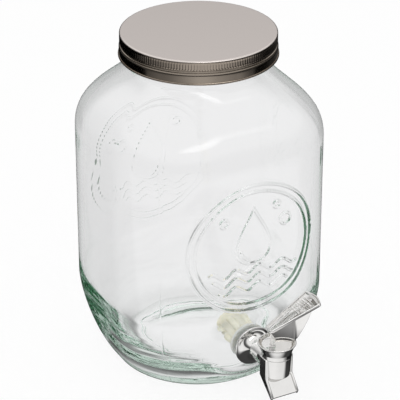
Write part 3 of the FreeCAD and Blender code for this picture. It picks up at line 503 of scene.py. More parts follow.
def between(tree, source, low, high):
    """A source from 0 to 1 turned into a number from low to high."""
    return node(tree, "MapRange", {"Value": source, "To Min": low, "To Max": high}).outputs["Result"]


def eased(tree, source, low, high, to_low=0.0, to_high=1.0):
    """A number that eases from one value where the source is low to another where it is high."""
    span = {"Value": source, "From Min": low, "From Max": high, "To Min": to_low, "To Max": to_high}
    return node(tree, "MapRange", span, interpolation_type="SMOOTHSTEP").outputs["Result"]


def blended(tree, source, first, second):
    """A colour between two, each a colour or another source, by a source from 0 to 1."""
    mix = node(tree, "Mix", {}, data_type="RGBA")
    for name, shade in (("A", first), ("B", second)):
        socket = next(item for item in mix.inputs if item.name == name and item.type == "RGBA")
        if isinstance(shade, bpy.types.NodeSocket):
            tree.links.new(shade, socket)
        else:
            socket.default_value = (*shade, 1)
    fill(tree, mix, {"Factor": source})
    return next(item for item in mix.outputs if item.type == "RGBA")


def maths(tree, operation, *terms):
    """One of Blender's operations on sources and numbers, such as a sum or the greater of two."""
    return node(tree, "Math", dict(enumerate(terms)), operation=operation).outputs["Value"]


def product(tree, first, *others):
    """The product of sources and numbers."""
    for other in others:
        first = maths(tree, "MULTIPLY", first, other)
    return first


def chosen(tree, share, first, second):
    """The first number where the share is 0, and the second where it is 1."""
    rest = maths(tree, "SUBTRACT", 1.0, share)
    return maths(tree, "ADD", product(tree, first, rest), product(tree, second, share))


def shades(tree, source, steps):
    """A grey that follows a source from 0 to 1 through steps of (place, grey)."""
    ramp = node(tree, "ValToRGB", {"Fac": source})
    marks = ramp.color_ramp.elements
    marks.remove(marks[1])
    marks[0].position = steps[0][0]
    for place, grey in steps[1:]:
        marks.new(place)
    for mark, (place, grey) in zip(marks, steps):
        mark.color = (grey, grey, grey, 1)
    return ramp.outputs["Color"]


def dented(tree, shader, source, strength, depth):
    """Bump on a shader from a source."""
    dent = node(tree, "Bump", {"Height": source, "Strength": strength, "Distance": depth})
    fill(tree, shader, {"Normal": dent.outputs["Normal"]})


def clear_glass(tint):
    """Clear glass, greenish where thick, with faint ripples and level folds, that lets lamplight through."""
    finish, tree, shader = new_finish("moulded_glass")
    folds_foot, folds_top = 0.016, 0.055
    fill(tree, shader, {"Base Color": (1, 0.994, 1, 1), "Transmission Weight": 1.0, "IOR": 1.5,
                        "Roughness": between(tree, grain(tree, 18, 2), 0.0, 0.012)})
    folds = product(tree, grain(tree, 60, 0.6, (0.4, 0.4, 2.4)),
                    eased(tree, object_height(tree), folds_foot, folds_top, 1.2, 0.0))
    ripples = grain(tree, 50, 1, (1, 1, 0.5))
    dented(tree, shader, maths(tree, "MULTIPLY_ADD", ripples, 0.12, folds), 1.0, 0.0006)
    ray = node(tree, "LightPath", {})
    clear = node(tree, "BsdfTransparent", {"Color": (0.96, 0.97, 0.965, 1)})
    mix = node(tree, "MixShader", {"Fac": ray.outputs["Is Shadow Ray"], 1: shader.outputs["BSDF"],
                                   2: clear.outputs["BSDF"]})
    depth = node(tree, "VolumeAbsorption", {"Color": (*tint, 1), "Density": 3.0})
    fill(tree, tree.nodes["Material Output"], {"Surface": mix.outputs["Shader"],
                                               "Volume": depth.outputs["Volume"]})
    return finish


def satin_sheet(colours, lid):
    """Pressed sheet, fine turned grain, satin on top; smoother, warmer and darker by painted shade down its
    side.
    """
    finish, tree, shader = new_finish("satin_sheet")
    brush, height = ring_grain(tree, 2600), object_height(tree)
    above = eased(tree, height, lid.top - 0.0012, lid.top - 0.0003)
    band_foot = lid.top - lid.band_height
    band = eased(tree, height, band_foot - 0.0003, band_foot + 0.0002)
    # The side's colours are the top's sheet darkened: painted shade
    sides = blended(tree, brush, colours.side_grain_painted_shade, colours.side_painted_shade)
    sides = blended(tree, band, sides, colours.dull_band_painted_shade)
    panel = blended(tree, brush, colours.lid_dark, colours.lid_top)
    satin = maths(tree, "ADD", between(tree, above, 0.14, 0.3), between(tree, brush, -0.04, 0.04))
    fill(tree, shader, {"Metallic": 1.0, "Base Color": blended(tree, above, sides, panel),
                        "Roughness": satin})
    dented(tree, shader, brush, 0.05, 0.00005)
    return finish


def chrome_plate(bright, haze):
    """Bright plating with a faint haze."""
    finish, tree, shader = new_finish("bright_plate")
    cloud = grain(tree, 160, 4)
    fill(tree, shader, {"Metallic": 1.0, "Base Color": blended(tree, cloud, haze, bright),
                        "Roughness": between(tree, cloud, 0.03, 0.08)})
    dented(tree, shader, grain(tree, 240, 2), 0.03, 0.0001)
    return finish


def moulded(name, first, second, low, high, scale, depth):
    """Moulded plastic or rubber: two close shades in swirls, a fine skin, and light let in to a depth."""
    finish, tree, shader = new_finish(name)
    if depth:
        fill(tree, shader, {"Subsurface Weight": 0.8, "Subsurface Radius": (1.0, 0.95, 0.85),
                            "Subsurface Scale": depth})
    swirl = grain(tree, scale, 4)
    fill(tree, shader, {"Base Color": blended(tree, swirl, first, second),
                        "Roughness": between(tree, swirl, low, high)})
    dented(tree, shader, grain(tree, scale * 9, 2), 0.08, 0.0001)
    return finish


def rounded_square(half, core, face, share):
    """Points and outward directions of rounded squares seen from above.

    A square has four faces, each a flat of half length core that runs out in two eighth-turn arcs about the
    ends of the core. share goes from -1 to 1 along a face in equal lengths, and face counts quarter turns.
    """
    radius = half - core
    run = share * (core + radius * math.pi / 4)
    side = np.sign(run)
    bend = np.maximum(np.abs(run) - core, 0) / radius
    out_x, out_y = side * np.sin(bend), -np.cos(bend)
    x = np.where(bend > 0, side * core + radius * out_x, run)
    y = -core + radius * out_y
    cos, sin = np.cos(face * math.pi / 2), np.sin(face * math.pi / 2)
    place = np.stack([x * cos - y * sin, x * sin + y * cos], -1)
    return place, np.stack([out_x * cos - out_y * sin, out_x * sin + out_y * cos], -1)


def face_columns(half_length, fine_reach, fine_step, coarse_step, seam_half):
    """Shares from -1 up to 1 along a face: fine in the middle, coarse beyond, and close by the corners."""
    fine = np.arange(0, fine_reach, fine_step)
    coarse = np.arange(fine_reach, half_length - 5 * seam_half, coarse_step)
    close = half_length - seam_half * np.array([3.0, 1.6, 0.7])
    right = np.concatenate([fine, coarse, close]) / half_length
    return np.concatenate([[-1.0], -right[:0:-1], right])


def heel_share(rise, power):
    """How far the heel has opened at a share of its height: the rounded corner of a superellipse."""
    return (1 - (1 - rise) ** power) ** (1 / power)


def shoulder_share(rise, power, ease):
    """Share of the shoulder's width left at a share of its height: a power curve eased into the throat."""
    return (1 - rise ** power) ** ease


def motif_lines(motif):
    """Centre lines of the raised design about its centre: two ovals, a drop with a glint, bubbles and waves.

    The drop is a circle whose width is drawn in towards its top by the sine of half the turn, and the waves
    are sines that end inside the inner oval.
    """
    turn = np.linspace(0, TURN, 121)
    wide, tall, gap = motif.oval_half_width, motif.oval_half_height, motif.oval_gap
    lines = [np.stack([(wide - s) * np.cos(turn), (tall - s) * np.sin(turn)], 1) for s in (0, gap)]
    drop_wide, drop_tall = 1.3 * motif.drop_half_width, motif.drop_half_height
    lift = 0.2 * tall
    taper = np.sin(turn / 2) ** 1.6
    lines.append(np.stack([drop_wide * np.sin(turn) * taper, lift + drop_tall * np.cos(turn)], 1))
    glint = np.linspace(math.radians(195), math.radians(255), 13)
    lines.append(np.stack([0.52 * drop_wide * np.cos(glint),
                           lift - 0.42 * drop_tall + 0.52 * drop_wide * np.sin(glint)], 1))
    turn = turn[::4]
    for across, up, size in ((0.5, 0.36, 0.085), (-0.47, 0.5, 0.06), (0.36, 0.62, 0.05)):
        lines.append(np.stack([wide * (across + size * np.cos(turn)),
                               tall * up + wide * size * np.sin(turn)], 1))
    for level in (-0.34, -0.48, -0.62):
        reach = (wide - 2.4 * gap) * math.sqrt(1 - (level * tall / (tall - gap)) ** 2)
        across = np.linspace(-reach, reach, 61)
        wave = motif.wave_swing * np.sin(TURN * across / motif.wave_pitch)
        lines.append(np.stack([across, level * tall + wave], 1))
    return lines


def motif_height(motif, across, up):
    """Height of the raised design and its slope along and up the wall: a round ridge about the nearest line.

    Each line is a run of short straight steps. The nearest point of a step is the foot of a square drawn to
    it, held between the step's ends. The ridge is a squared cosine of the distance, and its slope points away
    from the line.
    """
    spot = np.stack([across, up], -1)[..., None, :]
    nearest = np.full(across.shape, np.inf)
    away = np.zeros((*across.shape, 2))
    for line in motif_lines(motif):
        starts, steps = line[:-1], np.diff(line, axis=0)
        for start, step in zip(np.array_split(starts, 6), np.array_split(steps, 6)):
            share = np.clip(((spot - start) * step).sum(-1) / (step ** 2).sum(-1), 0, 1)
            offset = spot - start - share[..., None] * step
            gap = np.linalg.norm(offset, axis=-1)
            best = gap.argmin(-1)[..., None]
            gap = np.take_along_axis(gap, best, -1)[..., 0]
            offset = np.take_along_axis(offset, best[..., None], -2)[..., 0, :]
            nearer = gap < nearest
            nearest = np.where(nearer, gap, nearest)
            away = np.where(nearer[..., None], offset, away)
    half = motif.line_half
    height = motif.line_height * bump(nearest, half)
    fall = -motif.line_height * math.pi / (2 * half) * np.sin(math.pi * np.minimum(nearest / half, 1))
    return height, away * (fall / np.maximum(nearest, 1e-9))[..., None]


def jar_profile(jar, motif, hole_rows):
    """Rows of the glass from the middle of its underside over heel, wall, shoulder and rim, and back inside.

    Gives half width, half flat and height of each row, where each group of rows begins and ends, and where
    the tap hole's rows begin outside and inside.
    """
    hole_half = HOLE_TALL * jar.hole_radius
    low, high = TAP_Z - hole_half, TAP_Z + hole_half
    hole = np.linspace(low, high, hole_rows + 1)
    below_hole, above_hole, inner_below = 18, 7, 12

    def heel_rows(foot, top, foot_radius, half, count):
        turn_low = math.acos((1 - (low - foot) / (top - foot)) ** (jar.heel_power / 2))
        below = foot + (top - foot) * (1 - np.cos(np.linspace(0, turn_low, count)) ** (2 / jar.heel_power))
        height = np.concatenate([below[:-1], hole, np.linspace(high, top, above_hole)[1:]])
        share = heel_share((height - foot) / (top - foot), jar.heel_power)
        core = jar.neck_flat + (jar.flat_half - jar.neck_flat) * share
        return np.stack([foot_radius + (half - foot_radius) * share, core, height], 1)

    def shoulder_rows(foot, half, radius, count):
        rise = np.linspace(0, 1, count)
        share = shoulder_share(rise, jar.shoulder_power, jar.shoulder_ease)
        core = jar.neck_flat + (jar.flat_half - jar.neck_flat) * share ** jar.flat_ease
        return np.stack([radius + (half - radius) * share, core, foot + jar.shoulder_height * rise], 1)

    def straight_rows(half, height):
        return np.stack([np.full(len(height), half), np.full(len(height), jar.flat_half), height], 1)

    def round_rows(profile):
        return np.stack([profile[:, 0], np.full(len(profile), jar.neck_flat), profile[:, 1]], 1)

    groove_reach = 1.4 * jar.groove_half
    groove = np.linspace(jar.push_up_radius - groove_reach, jar.push_up_radius + groove_reach, 16)
    dome = np.concatenate([np.sqrt(np.linspace(0.02, 1, 8))[:-1] * groove[0], groove])
    under = np.stack([dome, jar.push_up_depth * np.maximum(1 - (dome / jar.push_up_radius) ** 2, 0)], 1)
    foot = np.stack([np.linspace(groove[-1], jar.foot_radius, 5)[1:-1], np.zeros(3)], 1)
    heel = heel_rows(0.0, jar.heel_height, jar.foot_radius, jar.body_half, below_hole)
    span = motif.oval_half_height + 2 * motif.line_half
    fine_step = 0.00063
    fine = np.arange(motif.centre_height - span, motif.centre_height + span, fine_step)
    wall_height = np.concatenate([np.linspace(jar.heel_height, fine[0], 7)[1:-1], fine,
                                  np.linspace(fine[-1], jar.wall_top, 3)[1:-1]])
    wall = straight_rows(jar.body_half, wall_height)
    shoulder = shoulder_rows(jar.wall_top, jar.body_half, jar.throat_radius, 32)
    step = jar.ring_radius - jar.throat_radius
    ring_top = jar.rim_height - jar.rim_round
    throat = upright(jar.throat_radius, np.linspace(shoulder[-1, 2], jar.ring_foot, 4)[1:])
    flare = np.stack([np.linspace(jar.throat_radius, jar.ring_radius, 4)[1:],
                      np.linspace(jar.ring_foot, jar.ring_foot + step, 4)[1:]], 1)
    ring = upright(jar.ring_radius, np.linspace(jar.ring_foot + step, ring_top, 21)[1:])
    turn = np.linspace(0, math.pi / 2, 5)[1:, None]
    out = np.concatenate([np.cos(turn), np.sin(turn)], 1) * jar.rim_round
    back = np.concatenate([-np.sin(turn), np.cos(turn)], 1) * jar.rim_round
    rim = np.concatenate([out + (jar.ring_radius - jar.rim_round, ring_top),
                          back + (jar.mouth_radius + jar.rim_round, ring_top)])
    inner_shoulder_foot = jar.wall_top - jar.shoulder_drop
    inner_half = jar.body_half - jar.wall
    mouth_foot = inner_shoulder_foot + jar.shoulder_height
    mouth = upright(jar.mouth_radius, np.linspace(ring_top, mouth_foot, 6)[1:-1])
    inner_shoulder = shoulder_rows(inner_shoulder_foot, inner_half, jar.mouth_radius, 24)[::-1]
    inner_heel_top = jar.heel_height + jar.heel_step
    inner_wall = straight_rows(inner_half, np.linspace(inner_shoulder_foot, inner_heel_top, 15)[1:-1])
    inner_heel = heel_rows(jar.floor_height, inner_heel_top, jar.floor_radius, inner_half, inner_below)[::-1]
    floor = np.stack([np.linspace(jar.floor_radius, 0, 7)[1:-1], np.full(5, jar.floor_height)], 1)
    groups = [("under", round_rows(under)), ("foot", round_rows(foot)), ("heel", heel), ("wall", wall),
              ("shoulder", shoulder), ("throat", round_rows(throat)), ("flare", round_rows(flare)),
              ("ring", round_rows(ring)), ("rim", round_rows(rim)), ("mouth", round_rows(mouth)),
              ("inner_shoulder", inner_shoulder), ("inner_wall", inner_wall), ("inner_heel", inner_heel),
              ("floor", round_rows(floor))]
    ends = np.cumsum([len(rows) for name, rows in groups])
    spans = {name: slice(end - len(rows), end) for (name, rows), end in zip(groups, ends)}
    rows = np.concatenate([rows for name, rows in groups])
    return rows, spans, (spans["heel"].start + below_hole - 1, spans["inner_heel"].start + above_hole - 1)


def onto_pad(place, height, plane, radius, blend):
    """Draws the points near the tap hole onto a flat pad, and lets the pad run out evenly into the heel."""
    far = np.hypot(place[..., 0], height - TAP_Z)
    hold = smooth((radius + blend - far) / blend) * (place[..., 1] < 0)
    place[..., 1] += hold * (plane - place[..., 1])


def round_the_hole(place, height, rows, columns, jar):
    """Draws a block of the grid round: its edge lands on the hole's circle, and rings beyond ease back."""
    edge = np.abs(place[rows, columns.start, 0]).mean()
    tall, ease_reach = HOLE_TALL * jar.hole_radius, 1.2
    far = np.maximum(np.abs(place[..., 0]) / edge, np.abs(height - TAP_Z) / tall)
    near = (place[..., 1] < 0) & (far < 1 + ease_reach) & (far > 0.9)
    reach = np.maximum(np.hypot(place[..., 0], height - TAP_Z), 1e-6)
    ease = smooth((far - 1) / ease_reach)
    scale = np.where(near, (1 - ease) * jar.hole_radius * far / reach + ease, 1.0)
    place[..., 0] *= scale
    height[:] = TAP_Z + (height - TAP_Z) * scale


def jar_skin(jar, motif):
    """The whole glass as one closed skin.

    Every row is a rounded square. The wall's rows carry the raised design along their outward direction, two
    opposite corners a fine mould seam, the ring a screw ridge, the underside a wavering groove and the inside
    a slow ripple. A block of the grid is left out on the front of the heel, outside and inside, drawn round,
    and joined through the glass as the tap hole.
    """
    hole_rows = 10
    rows, spans, (hole_first, inner_first) = jar_profile(jar, motif, hole_rows)
    half_length = jar.flat_half + (jar.body_half - jar.flat_half) * math.pi / 4
    reach = motif.oval_half_width + 2 * motif.line_half
    fine, back_fine, coarse = 0.0006, 0.0016, 0.0044
    front = face_columns(half_length, reach, fine, coarse, jar.seam_half)
    back = face_columns(half_length, reach, back_fine, coarse, jar.seam_half)
    side = face_columns(half_length, 0.0, 1.0, coarse, jar.seam_half)
    share = np.concatenate([front, side, back, side])
    face = np.repeat([0, 1, 2, 3], [len(front), len(side), len(back), len(side)])
    run = np.abs(share) * half_length
    every = np.where(run < 1.3 * jar.hole_radius, 1, np.where(run < 0.03, 3, 6))
    every = np.where(face == 2, 3, every)
    nth = np.rint(run / np.where(face == 2, back_fine, fine)).astype(int)
    few = np.flatnonzero((run >= reach) | (face % 2 == 1) | (nth % every == 0))
    half, core, level = (rows[:, i, None] for i in range(3))
    place, out = rounded_square(half, core, face, share)
    height = level + np.zeros(len(share))
    turn = np.arctan2(place[..., 1], place[..., 0]) % TURN

    under = spans["under"]
    around = turn[under]
    sway = np.sin(9 * around + 0.6) + 0.8 * np.sin(17 * around) + 0.5 * np.sin(26 * around + 2.0)
    from_middle = np.hypot(place[under][..., 0], place[under][..., 1])
    from_edge = from_middle - jar.push_up_radius - jar.groove_sway * sway
    deep = 1 + 0.3 * np.sin(13 * around + 1.0) * np.sin(5 * around)
    height[under] += jar.groove_depth * deep * bump(from_edge, jar.groove_half)

    raised = np.zeros(height.shape)
    normals = np.zeros((*height.shape, 3))
    wall = spans["wall"]
    for number_of_face in (0, 2):
        here = np.flatnonzero(face == number_of_face)
        across = np.broadcast_to(share[here] * half_length, (wall.stop - wall.start, len(here)))
        stand = 1.0 if number_of_face == 0 else motif.back_share
        design, slope = motif_height(motif, across, height[wall][:, here] - motif.centre_height)
        patch = (wall, slice(here[0], here[-1] + 1))
        raised[patch] = stand * design
        facing, slope = out[patch], stand * slope
        along = np.stack([-facing[..., 1], facing[..., 0]], -1)
        normals[patch] = np.concatenate([facing - slope[..., :1] * along, -slope[..., 1:]], -1)
    body = slice(spans["heel"].start, spans["shoulder"].stop)
    seam = (1 - np.abs(share)) * half_length
    seam_side = np.isin(face * 2 + (share > 0), (0, 7, 4, 3))
    raised[body] += jar.seam_height * bump(seam, jar.seam_half * 1.6) * seam_side
    ring = spans["ring"]
    ridge = helix_ridge(turn[ring], height[ring], jar.thread_start, jar.thread_pitch, jar.thread_turns,
                        jar.thread_width / 2)
    raised[ring] += jar.thread_depth * ridge
    inside = slice(spans["inner_shoulder"].start, spans["inner_heel"].stop)
    wave = (np.sin(3 * turn + 40 * height) + 0.7 * np.sin(5 * turn - 70 * height + 1.3)
            + 0.5 * np.sin(95 * height + 2 * turn))
    ripple_foot, ripple_top, ripple_ease = 0.02, 0.222, 0.03
    steady = smooth((height - ripple_foot) / ripple_ease) * smooth((ripple_top - height) / ripple_ease)
    raised[inside] -= (jar.ripple * wave * steady)[inside]
    place = place + raised[..., None] * out

    outer, inner = slice(0, spans["rim"].start), slice(spans["mouth"].start, len(rows))
    middle = np.flatnonzero(front >= 0)[0]
    side_count = np.searchsorted(front[middle:] * half_length, HOLE_WIDE * jar.hole_radius)
    block = slice(middle - side_count, middle + side_count)
    for part, first, plane, blend in ((outer, hole_first, OUTER_WASHER_HIGH.y, jar.pad_blend),
                                      (inner, inner_first, INNER_WASHER_LOW.y, jar.inner_blend)):
        round_the_hole(place[part], height[part], first - part.start + hole_rows // 2, block, jar)
        onto_pad(place[part], height[part], plane, jar.pad_radius, blend)

    points = np.concatenate([place, height[..., None]], -1)
    return glass_shell(points, normals, few, wall, block, (hole_first, inner_first), hole_rows, jar)


def grid_faces(rows, columns, across):
    """Quads between neighbouring rows at some of the columns, which close in a ring."""
    base = across * rows[:, None]
    after = np.roll(columns, -1)
    return np.stack([base[:-1] + columns, base[:-1] + after, base[1:] + after, base[1:] + columns], -1)


def fan_faces(row, wall_row, few, across):
    """Triangles that join a row of few columns to a row of all: a fan from each of the few to its share."""
    ring = np.arange(across)
    start, far = row * across, wall_row * across
    hub = start + few[np.searchsorted(few, ring, side="right") - 1]
    after = np.roll(few, -1)
    fans = np.concatenate([np.stack([hub, far + np.roll(ring, -1), far + ring], 1),
                           np.stack([start + few, start + after, far + after], 1)])
    return fans if row < wall_row else fans[:, ::-1]


def glass_shell(points, normals, few, wall, block, hole_firsts, hole_rows, jar):
    """Faces of the glass: a pole at each end, the grid less two blocks, and a band between the blocks' edges.

    The wall keeps all the columns for its raised design, and the rows below and above it only a few of them.
    """
    count, across = points.shape[:2]
    low, high = np.searchsorted(few, (block.start, block.stop))
    quads = [grid_faces(np.arange(wall.start, wall.stop), np.arange(across), across).reshape(-1, 4)]
    for rows, first in zip((np.arange(wall.start), np.arange(wall.stop, count)), hole_firsts):
        part = grid_faces(rows, few, across)
        keep = np.ones(part.shape[:2], bool)
        keep[first - rows[0]:first - rows[0] + hole_rows, low:high] = False
        quads.append(part[keep])
    columns = np.concatenate([np.arange(block.start, block.stop), np.full(hole_rows, block.stop),
                              np.arange(block.stop, block.start, -1), np.full(hole_rows, block.start)])
    steps, width = np.arange(hole_rows), block.stop - block.start
    lifts = np.concatenate([np.zeros(width, int), steps, np.full(width, hole_rows), hole_rows - steps])
    edge = (hole_firsts[0] + lifts) * across + columns
    inner_edge = (hole_firsts[1] + hole_rows - lifts) * across + columns
    quads.append(np.stack([edge, np.roll(edge, -1), np.roll(inner_edge, -1), inner_edge], 1))
    after, last = np.roll(few, -1), (count - 1) * across
    under, floor = count * across, count * across + 1
    threes = [fan_faces(wall.start - 1, wall.start, few, across),
              fan_faces(wall.stop, wall.stop - 1, few, across),
              np.stack([np.full_like(few, under), after, few], 1),
              np.stack([np.full_like(few, floor), last + few, last + after], 1)]
    poles = np.array([[0, 0, jar.push_up_depth], [0, 0, jar.floor_height]])
    every = np.concatenate([points.reshape(-1, 3), poles])
    normals = np.concatenate([normals.reshape(-1, 3), np.zeros((2, 3))])
    faces = [np.concatenate(quads), np.concatenate(threes)]
    used = np.unique(np.concatenate([group.ravel() for group in faces]))
    number_of = np.zeros(len(every), int)
    number_of[used] = np.arange(len(used))
    return outward(every[used], [number_of[group] for group in faces]), normals[used]


def lid_skin(lid, jar):
    """The lid as one closed skin, spun from its profile.

    The profile runs from the middle of the top over the edge, down the band, groove and skirt, round the
    curled edge and back up inside. On the band the radius dips between the knurls by a folded cosine, and
    inside the skirt a screw ridge stands in.
    """
    band_foot = lid.top - lid.band_height
    inner_band = lid.band_radius - lid.sheet - lid.knurl_depth
    waist = lid.band_radius - lid.groove
    curl = np.array([lid.skirt_radius - lid.sheet / 2, lid.foot + lid.curl_radius])
    panel = np.stack([np.linspace(0, 0.92, 7) * lid.band_radius, np.full(7, lid.top)], 1)
    edge = rounded([(0.93 * lid.band_radius, lid.top, 0), (lid.band_radius, lid.top, lid.edge),
                    (lid.band_radius, lid.top - 2 * lid.edge, 0)], 6)[1:-2]
    knurled = upright(lid.band_radius, np.linspace(lid.top - 1.5 * lid.edge, band_foot, 9))
    swell = np.linspace(0, 1, 12)
    skirt_top, skirt_foot = band_foot - 2.2 * lid.groove, curl[1] + 0.7 * lid.curl_radius
    groove = rounded([(lid.band_radius, band_foot, 0), (waist, band_foot - lid.groove, SOFT_ROUND),
                      (waist, skirt_top, SOFT_ROUND),
                      (lid.skirt_radius, skirt_top - 2 * lid.groove, 0)], 3)[1:-1]
    skirt = np.stack([waist + (lid.skirt_radius - waist) * smooth(swell / 0.3),
                      skirt_top + (skirt_foot - skirt_top) * swell], 1)[1:]
    turn = np.linspace(math.radians(50), math.radians(-230), 18)[:, None]
    curled = curl + lid.curl_radius * np.concatenate([np.cos(turn), np.sin(turn)], 1)
    inset, inner_round = 0.0006, 0.0003
    inner_radius, inner_waist = lid.skirt_radius - lid.sheet, waist - lid.sheet
    inner_skirt = upright(inner_radius, np.linspace(skirt_foot + inset, skirt_top - inset, 18))
    inner = rounded([(inner_radius, skirt_top - inset, 0), (inner_waist, skirt_top, inner_round),
                     (inner_waist, band_foot - lid.groove, inner_round),
                     (inner_band, band_foot, 0.0001),
                     (inner_band, lid.top - lid.sheet, lid.edge - lid.sheet),
                     (0.9 * lid.band_radius, lid.top - lid.sheet, 0)], 3)[1:]
    inside = np.stack([np.linspace(0.8, 0, 5) * lid.band_radius, np.full(5, lid.top - lid.sheet)], 1)
    profile = np.concatenate([panel, edge, knurled, groove, skirt, curled, inner_skirt, inner, inside])
    columns = lid.knurls * 4
    turn = full_turn(columns)
    radius, height = profile[:, :1] + np.zeros(columns), profile[:, 1:] + np.zeros(columns)
    on_band = slice(len(panel) + len(edge), len(panel) + len(edge) + len(knurled))
    share = np.linspace(0, 1, len(knurled))[:, None]
    bite = faded(share, 0.12)
    radius[on_band] -= lid.knurl_depth * bite * (1 - np.abs(np.cos(lid.knurls * turn / 2)))
    first = len(profile) - len(inside) - len(inner) - len(inner_skirt)
    in_skirt = slice(first, first + len(inner_skirt))
    ridge = helix_ridge(turn, height[in_skirt], lid.thread_start, jar.thread_pitch, lid.thread_turns,
                        lid.thread_width / 2)
    radius[in_skirt] -= lid.thread_depth * ridge
    return skin(np.stack([radius * np.cos(turn), radius * np.sin(turn), height], -1), "poles")


def flange_skin(tap):
    """The flange and neck, spun about the inlet: a rounded rim, then a quarter curve that sinks to the neck.

    The neck's last ring is drawn onto a cylinder inside the barrel's wall, so that it ends on a saddle.
    """
    front = tap.flange_back - tap.flange_rim
    turn = np.linspace(math.radians(8), math.pi / 2, 12)
    rim_land, socket_depth = 0.0012, 0.008
    fall = tap.flange_radius - rim_land - tap.neck_radius
    flare = np.stack([tap.neck_radius + fall * (1 - np.sin(turn)), front - tap.flare * (1 - np.cos(turn))], 1)
    socket_end = tap.flange_back - socket_depth
    start = [(0, socket_end, 0), (tap.inlet_bore, socket_end, 0),
             (tap.inlet_bore, tap.flange_back, FINE_ROUND),
             (tap.flange_radius, tap.flange_back, SOFT_ROUND), (tap.flange_radius, front, 0.0005)]
    rim = rounded(start + [(tap.flange_radius - rim_land, front, 0)], 4)
    wall = (tap.bore + tap.foot_radius) / 2
    neck = upright(tap.neck_radius, np.linspace(flare[-1, 1], BARREL_Y + wall, 4)[1:])
    end = np.array([[0.6 * tap.neck_radius, BARREL_Y + wall], [0, BARREL_Y + wall]])
    rows = spun(np.concatenate([rim, flare, neck, end]), 96, "inlet")
    rows[-3:, :, 1] = BARREL_Y + np.sqrt(wall ** 2 - rows[-3:, :, 0] ** 2)
    return skin(rows, "poles")


def barrel_skin(tap):
    """The barrel: a wall that widens a little upwards, with stem, bore and outlet, spun as a closed loop."""
    floor_thickness = 0.0017
    floor = tap.barrel_foot + floor_thickness
    loop = [(tap.outlet, tap.barrel_foot, FINE_ROUND), (tap.foot_radius, tap.barrel_foot, tap.bend),
            (tap.top_radius, tap.barrel_top, tap.bend), (tap.stem_radius, tap.barrel_top, FINE_ROUND),
            (tap.stem_radius, tap.stem_top, FINE_ROUND), (tap.bore, tap.stem_top, FINE_ROUND),
            (tap.bore, floor, FINE_ROUND), (tap.outlet, floor, FINE_ROUND)]
    return skin(spun(rounded(loop, 4), 128), "ring")


def side_plate_skin(tap, side):
    """A side plate: a bar section with rounded edges, carried down beside the barrel and forward to the lip.

    Each station gives the plate's front and rear edges and its inner face. The section keeps its rounding as
    the plate grows narrow, and both ends are drawn in a little.
    """
    front, back, knee, top = tap.side_front, tap.side_back, tap.barrel_foot, tap.barrel_top
    draw = 0.0003
    slope = np.array([0.15, 0.97, 1.0])[:, None]
    lip = np.array([[tap.lip_front, tap.lip_top, tap.lip_back, tap.lip_foot]])
    bend_at = np.array([front, knee, back, knee])
    edges = np.concatenate([[(front, top, back, top), (front, top - draw, back, top - draw), bend_at],
                            bend_at + (lip - bend_at) * slope])
    inner = np.array([tap.side_inside] * 3 + [tap.chamber_half] * 3)[:, None]
    inset = np.array([draw, 0, 0, 0, 0, draw])[:, None]
    wide, deep = (tap.side_half - tap.side_inside) / 2, 0.005
    ring = rounded([(wide, -deep, tap.bend), (wide, deep, tap.bend), (-wide, deep, tap.bend),
                    (-wide, -deep, tap.bend)], 4)
    from_inner, from_outer = wide + ring[:, 0], wide - ring[:, 0]
    x = np.where(ring[:, 0] < 0, inner + from_inner + inset, tap.side_half - from_outer - inset)
    room = np.hypot(edges[:, 2] - edges[:, 0], edges[:, 3] - edges[:, 1])[:, None]
    from_edge = np.minimum((deep - np.abs(ring[:, 1]) + inset) / room, 0.48)
    share = np.where(ring[:, 1] < 0, from_edge, 1 - from_edge)[..., None]
    place = edges[:, None, :2] + (edges[:, None, 2:] - edges[:, None, :2]) * share
    return skin(np.concatenate([side * x[..., None], place + (BARREL_Y, TAP_Z)], -1), "strips")


def front_plate_skin(tap):
    """The spout's sunk front plate: a flat sheet between the side plates, from the barrel down to the lip."""
    along = np.linspace(-0.08, 0.985, 12)[:, None]
    start = np.array([tap.side_front, tap.barrel_foot])
    front = start + (np.array([tap.lip_front, tap.lip_top]) - start) * along
    start = np.array([tap.side_back, tap.barrel_foot])
    rear = start + (np.array([tap.lip_back, tap.lip_foot]) - start) * along
    room = np.linalg.norm(rear - front, axis=1)[:, None]
    near, far = np.minimum(tap.plate_recess / room, 0.4), np.minimum(tap.plate_inside / room, 0.75)
    overlap = 0.0002
    across = (tap.chamber_half + overlap) * np.linspace(-1, 1, 9)
    share = np.concatenate([near + 0 * across, far + 0 * across], 1)[..., None]
    place = front[:, None] + (rear - front)[:, None] * share
    x = np.broadcast_to(np.concatenate([across, across[::-1]])[:, None], (*share.shape[:2], 1))
    return skin(np.concatenate([x, place + (BARREL_Y, TAP_Z)], -1), "strips")


def collar_skin(collar):
    """The collar: a plain band, a cup that opens up to a rolled lip, and a floor with the stem's hole."""
    lip_foot = collar.flare_height + 0.0006
    loop = [(collar.stem_radius, collar.foot, FINE_ROUND), (collar.foot_radius, collar.foot, 0.0003),
            (collar.foot_radius, collar.foot + collar.band, 0.0012),
            (collar.waist_radius, collar.floor_top, 0.004),
            (collar.flare_radius, collar.flare_height, 0.0012), (collar.lip_radius, lip_foot, 0.0005),
            (collar.lip_radius, collar.top, 0.0005), (collar.cup_mouth, collar.top, SOFT_ROUND),
            (collar.cup_radius, collar.floor_top, SOFT_ROUND), (collar.hole, collar.floor_top, FINE_ROUND),
            (collar.hole, collar.floor_bottom, FINE_ROUND),
            (collar.stem_radius, collar.floor_bottom, FINE_ROUND)]
    return skin(spun(rounded(loop, 6), 128), "ring")


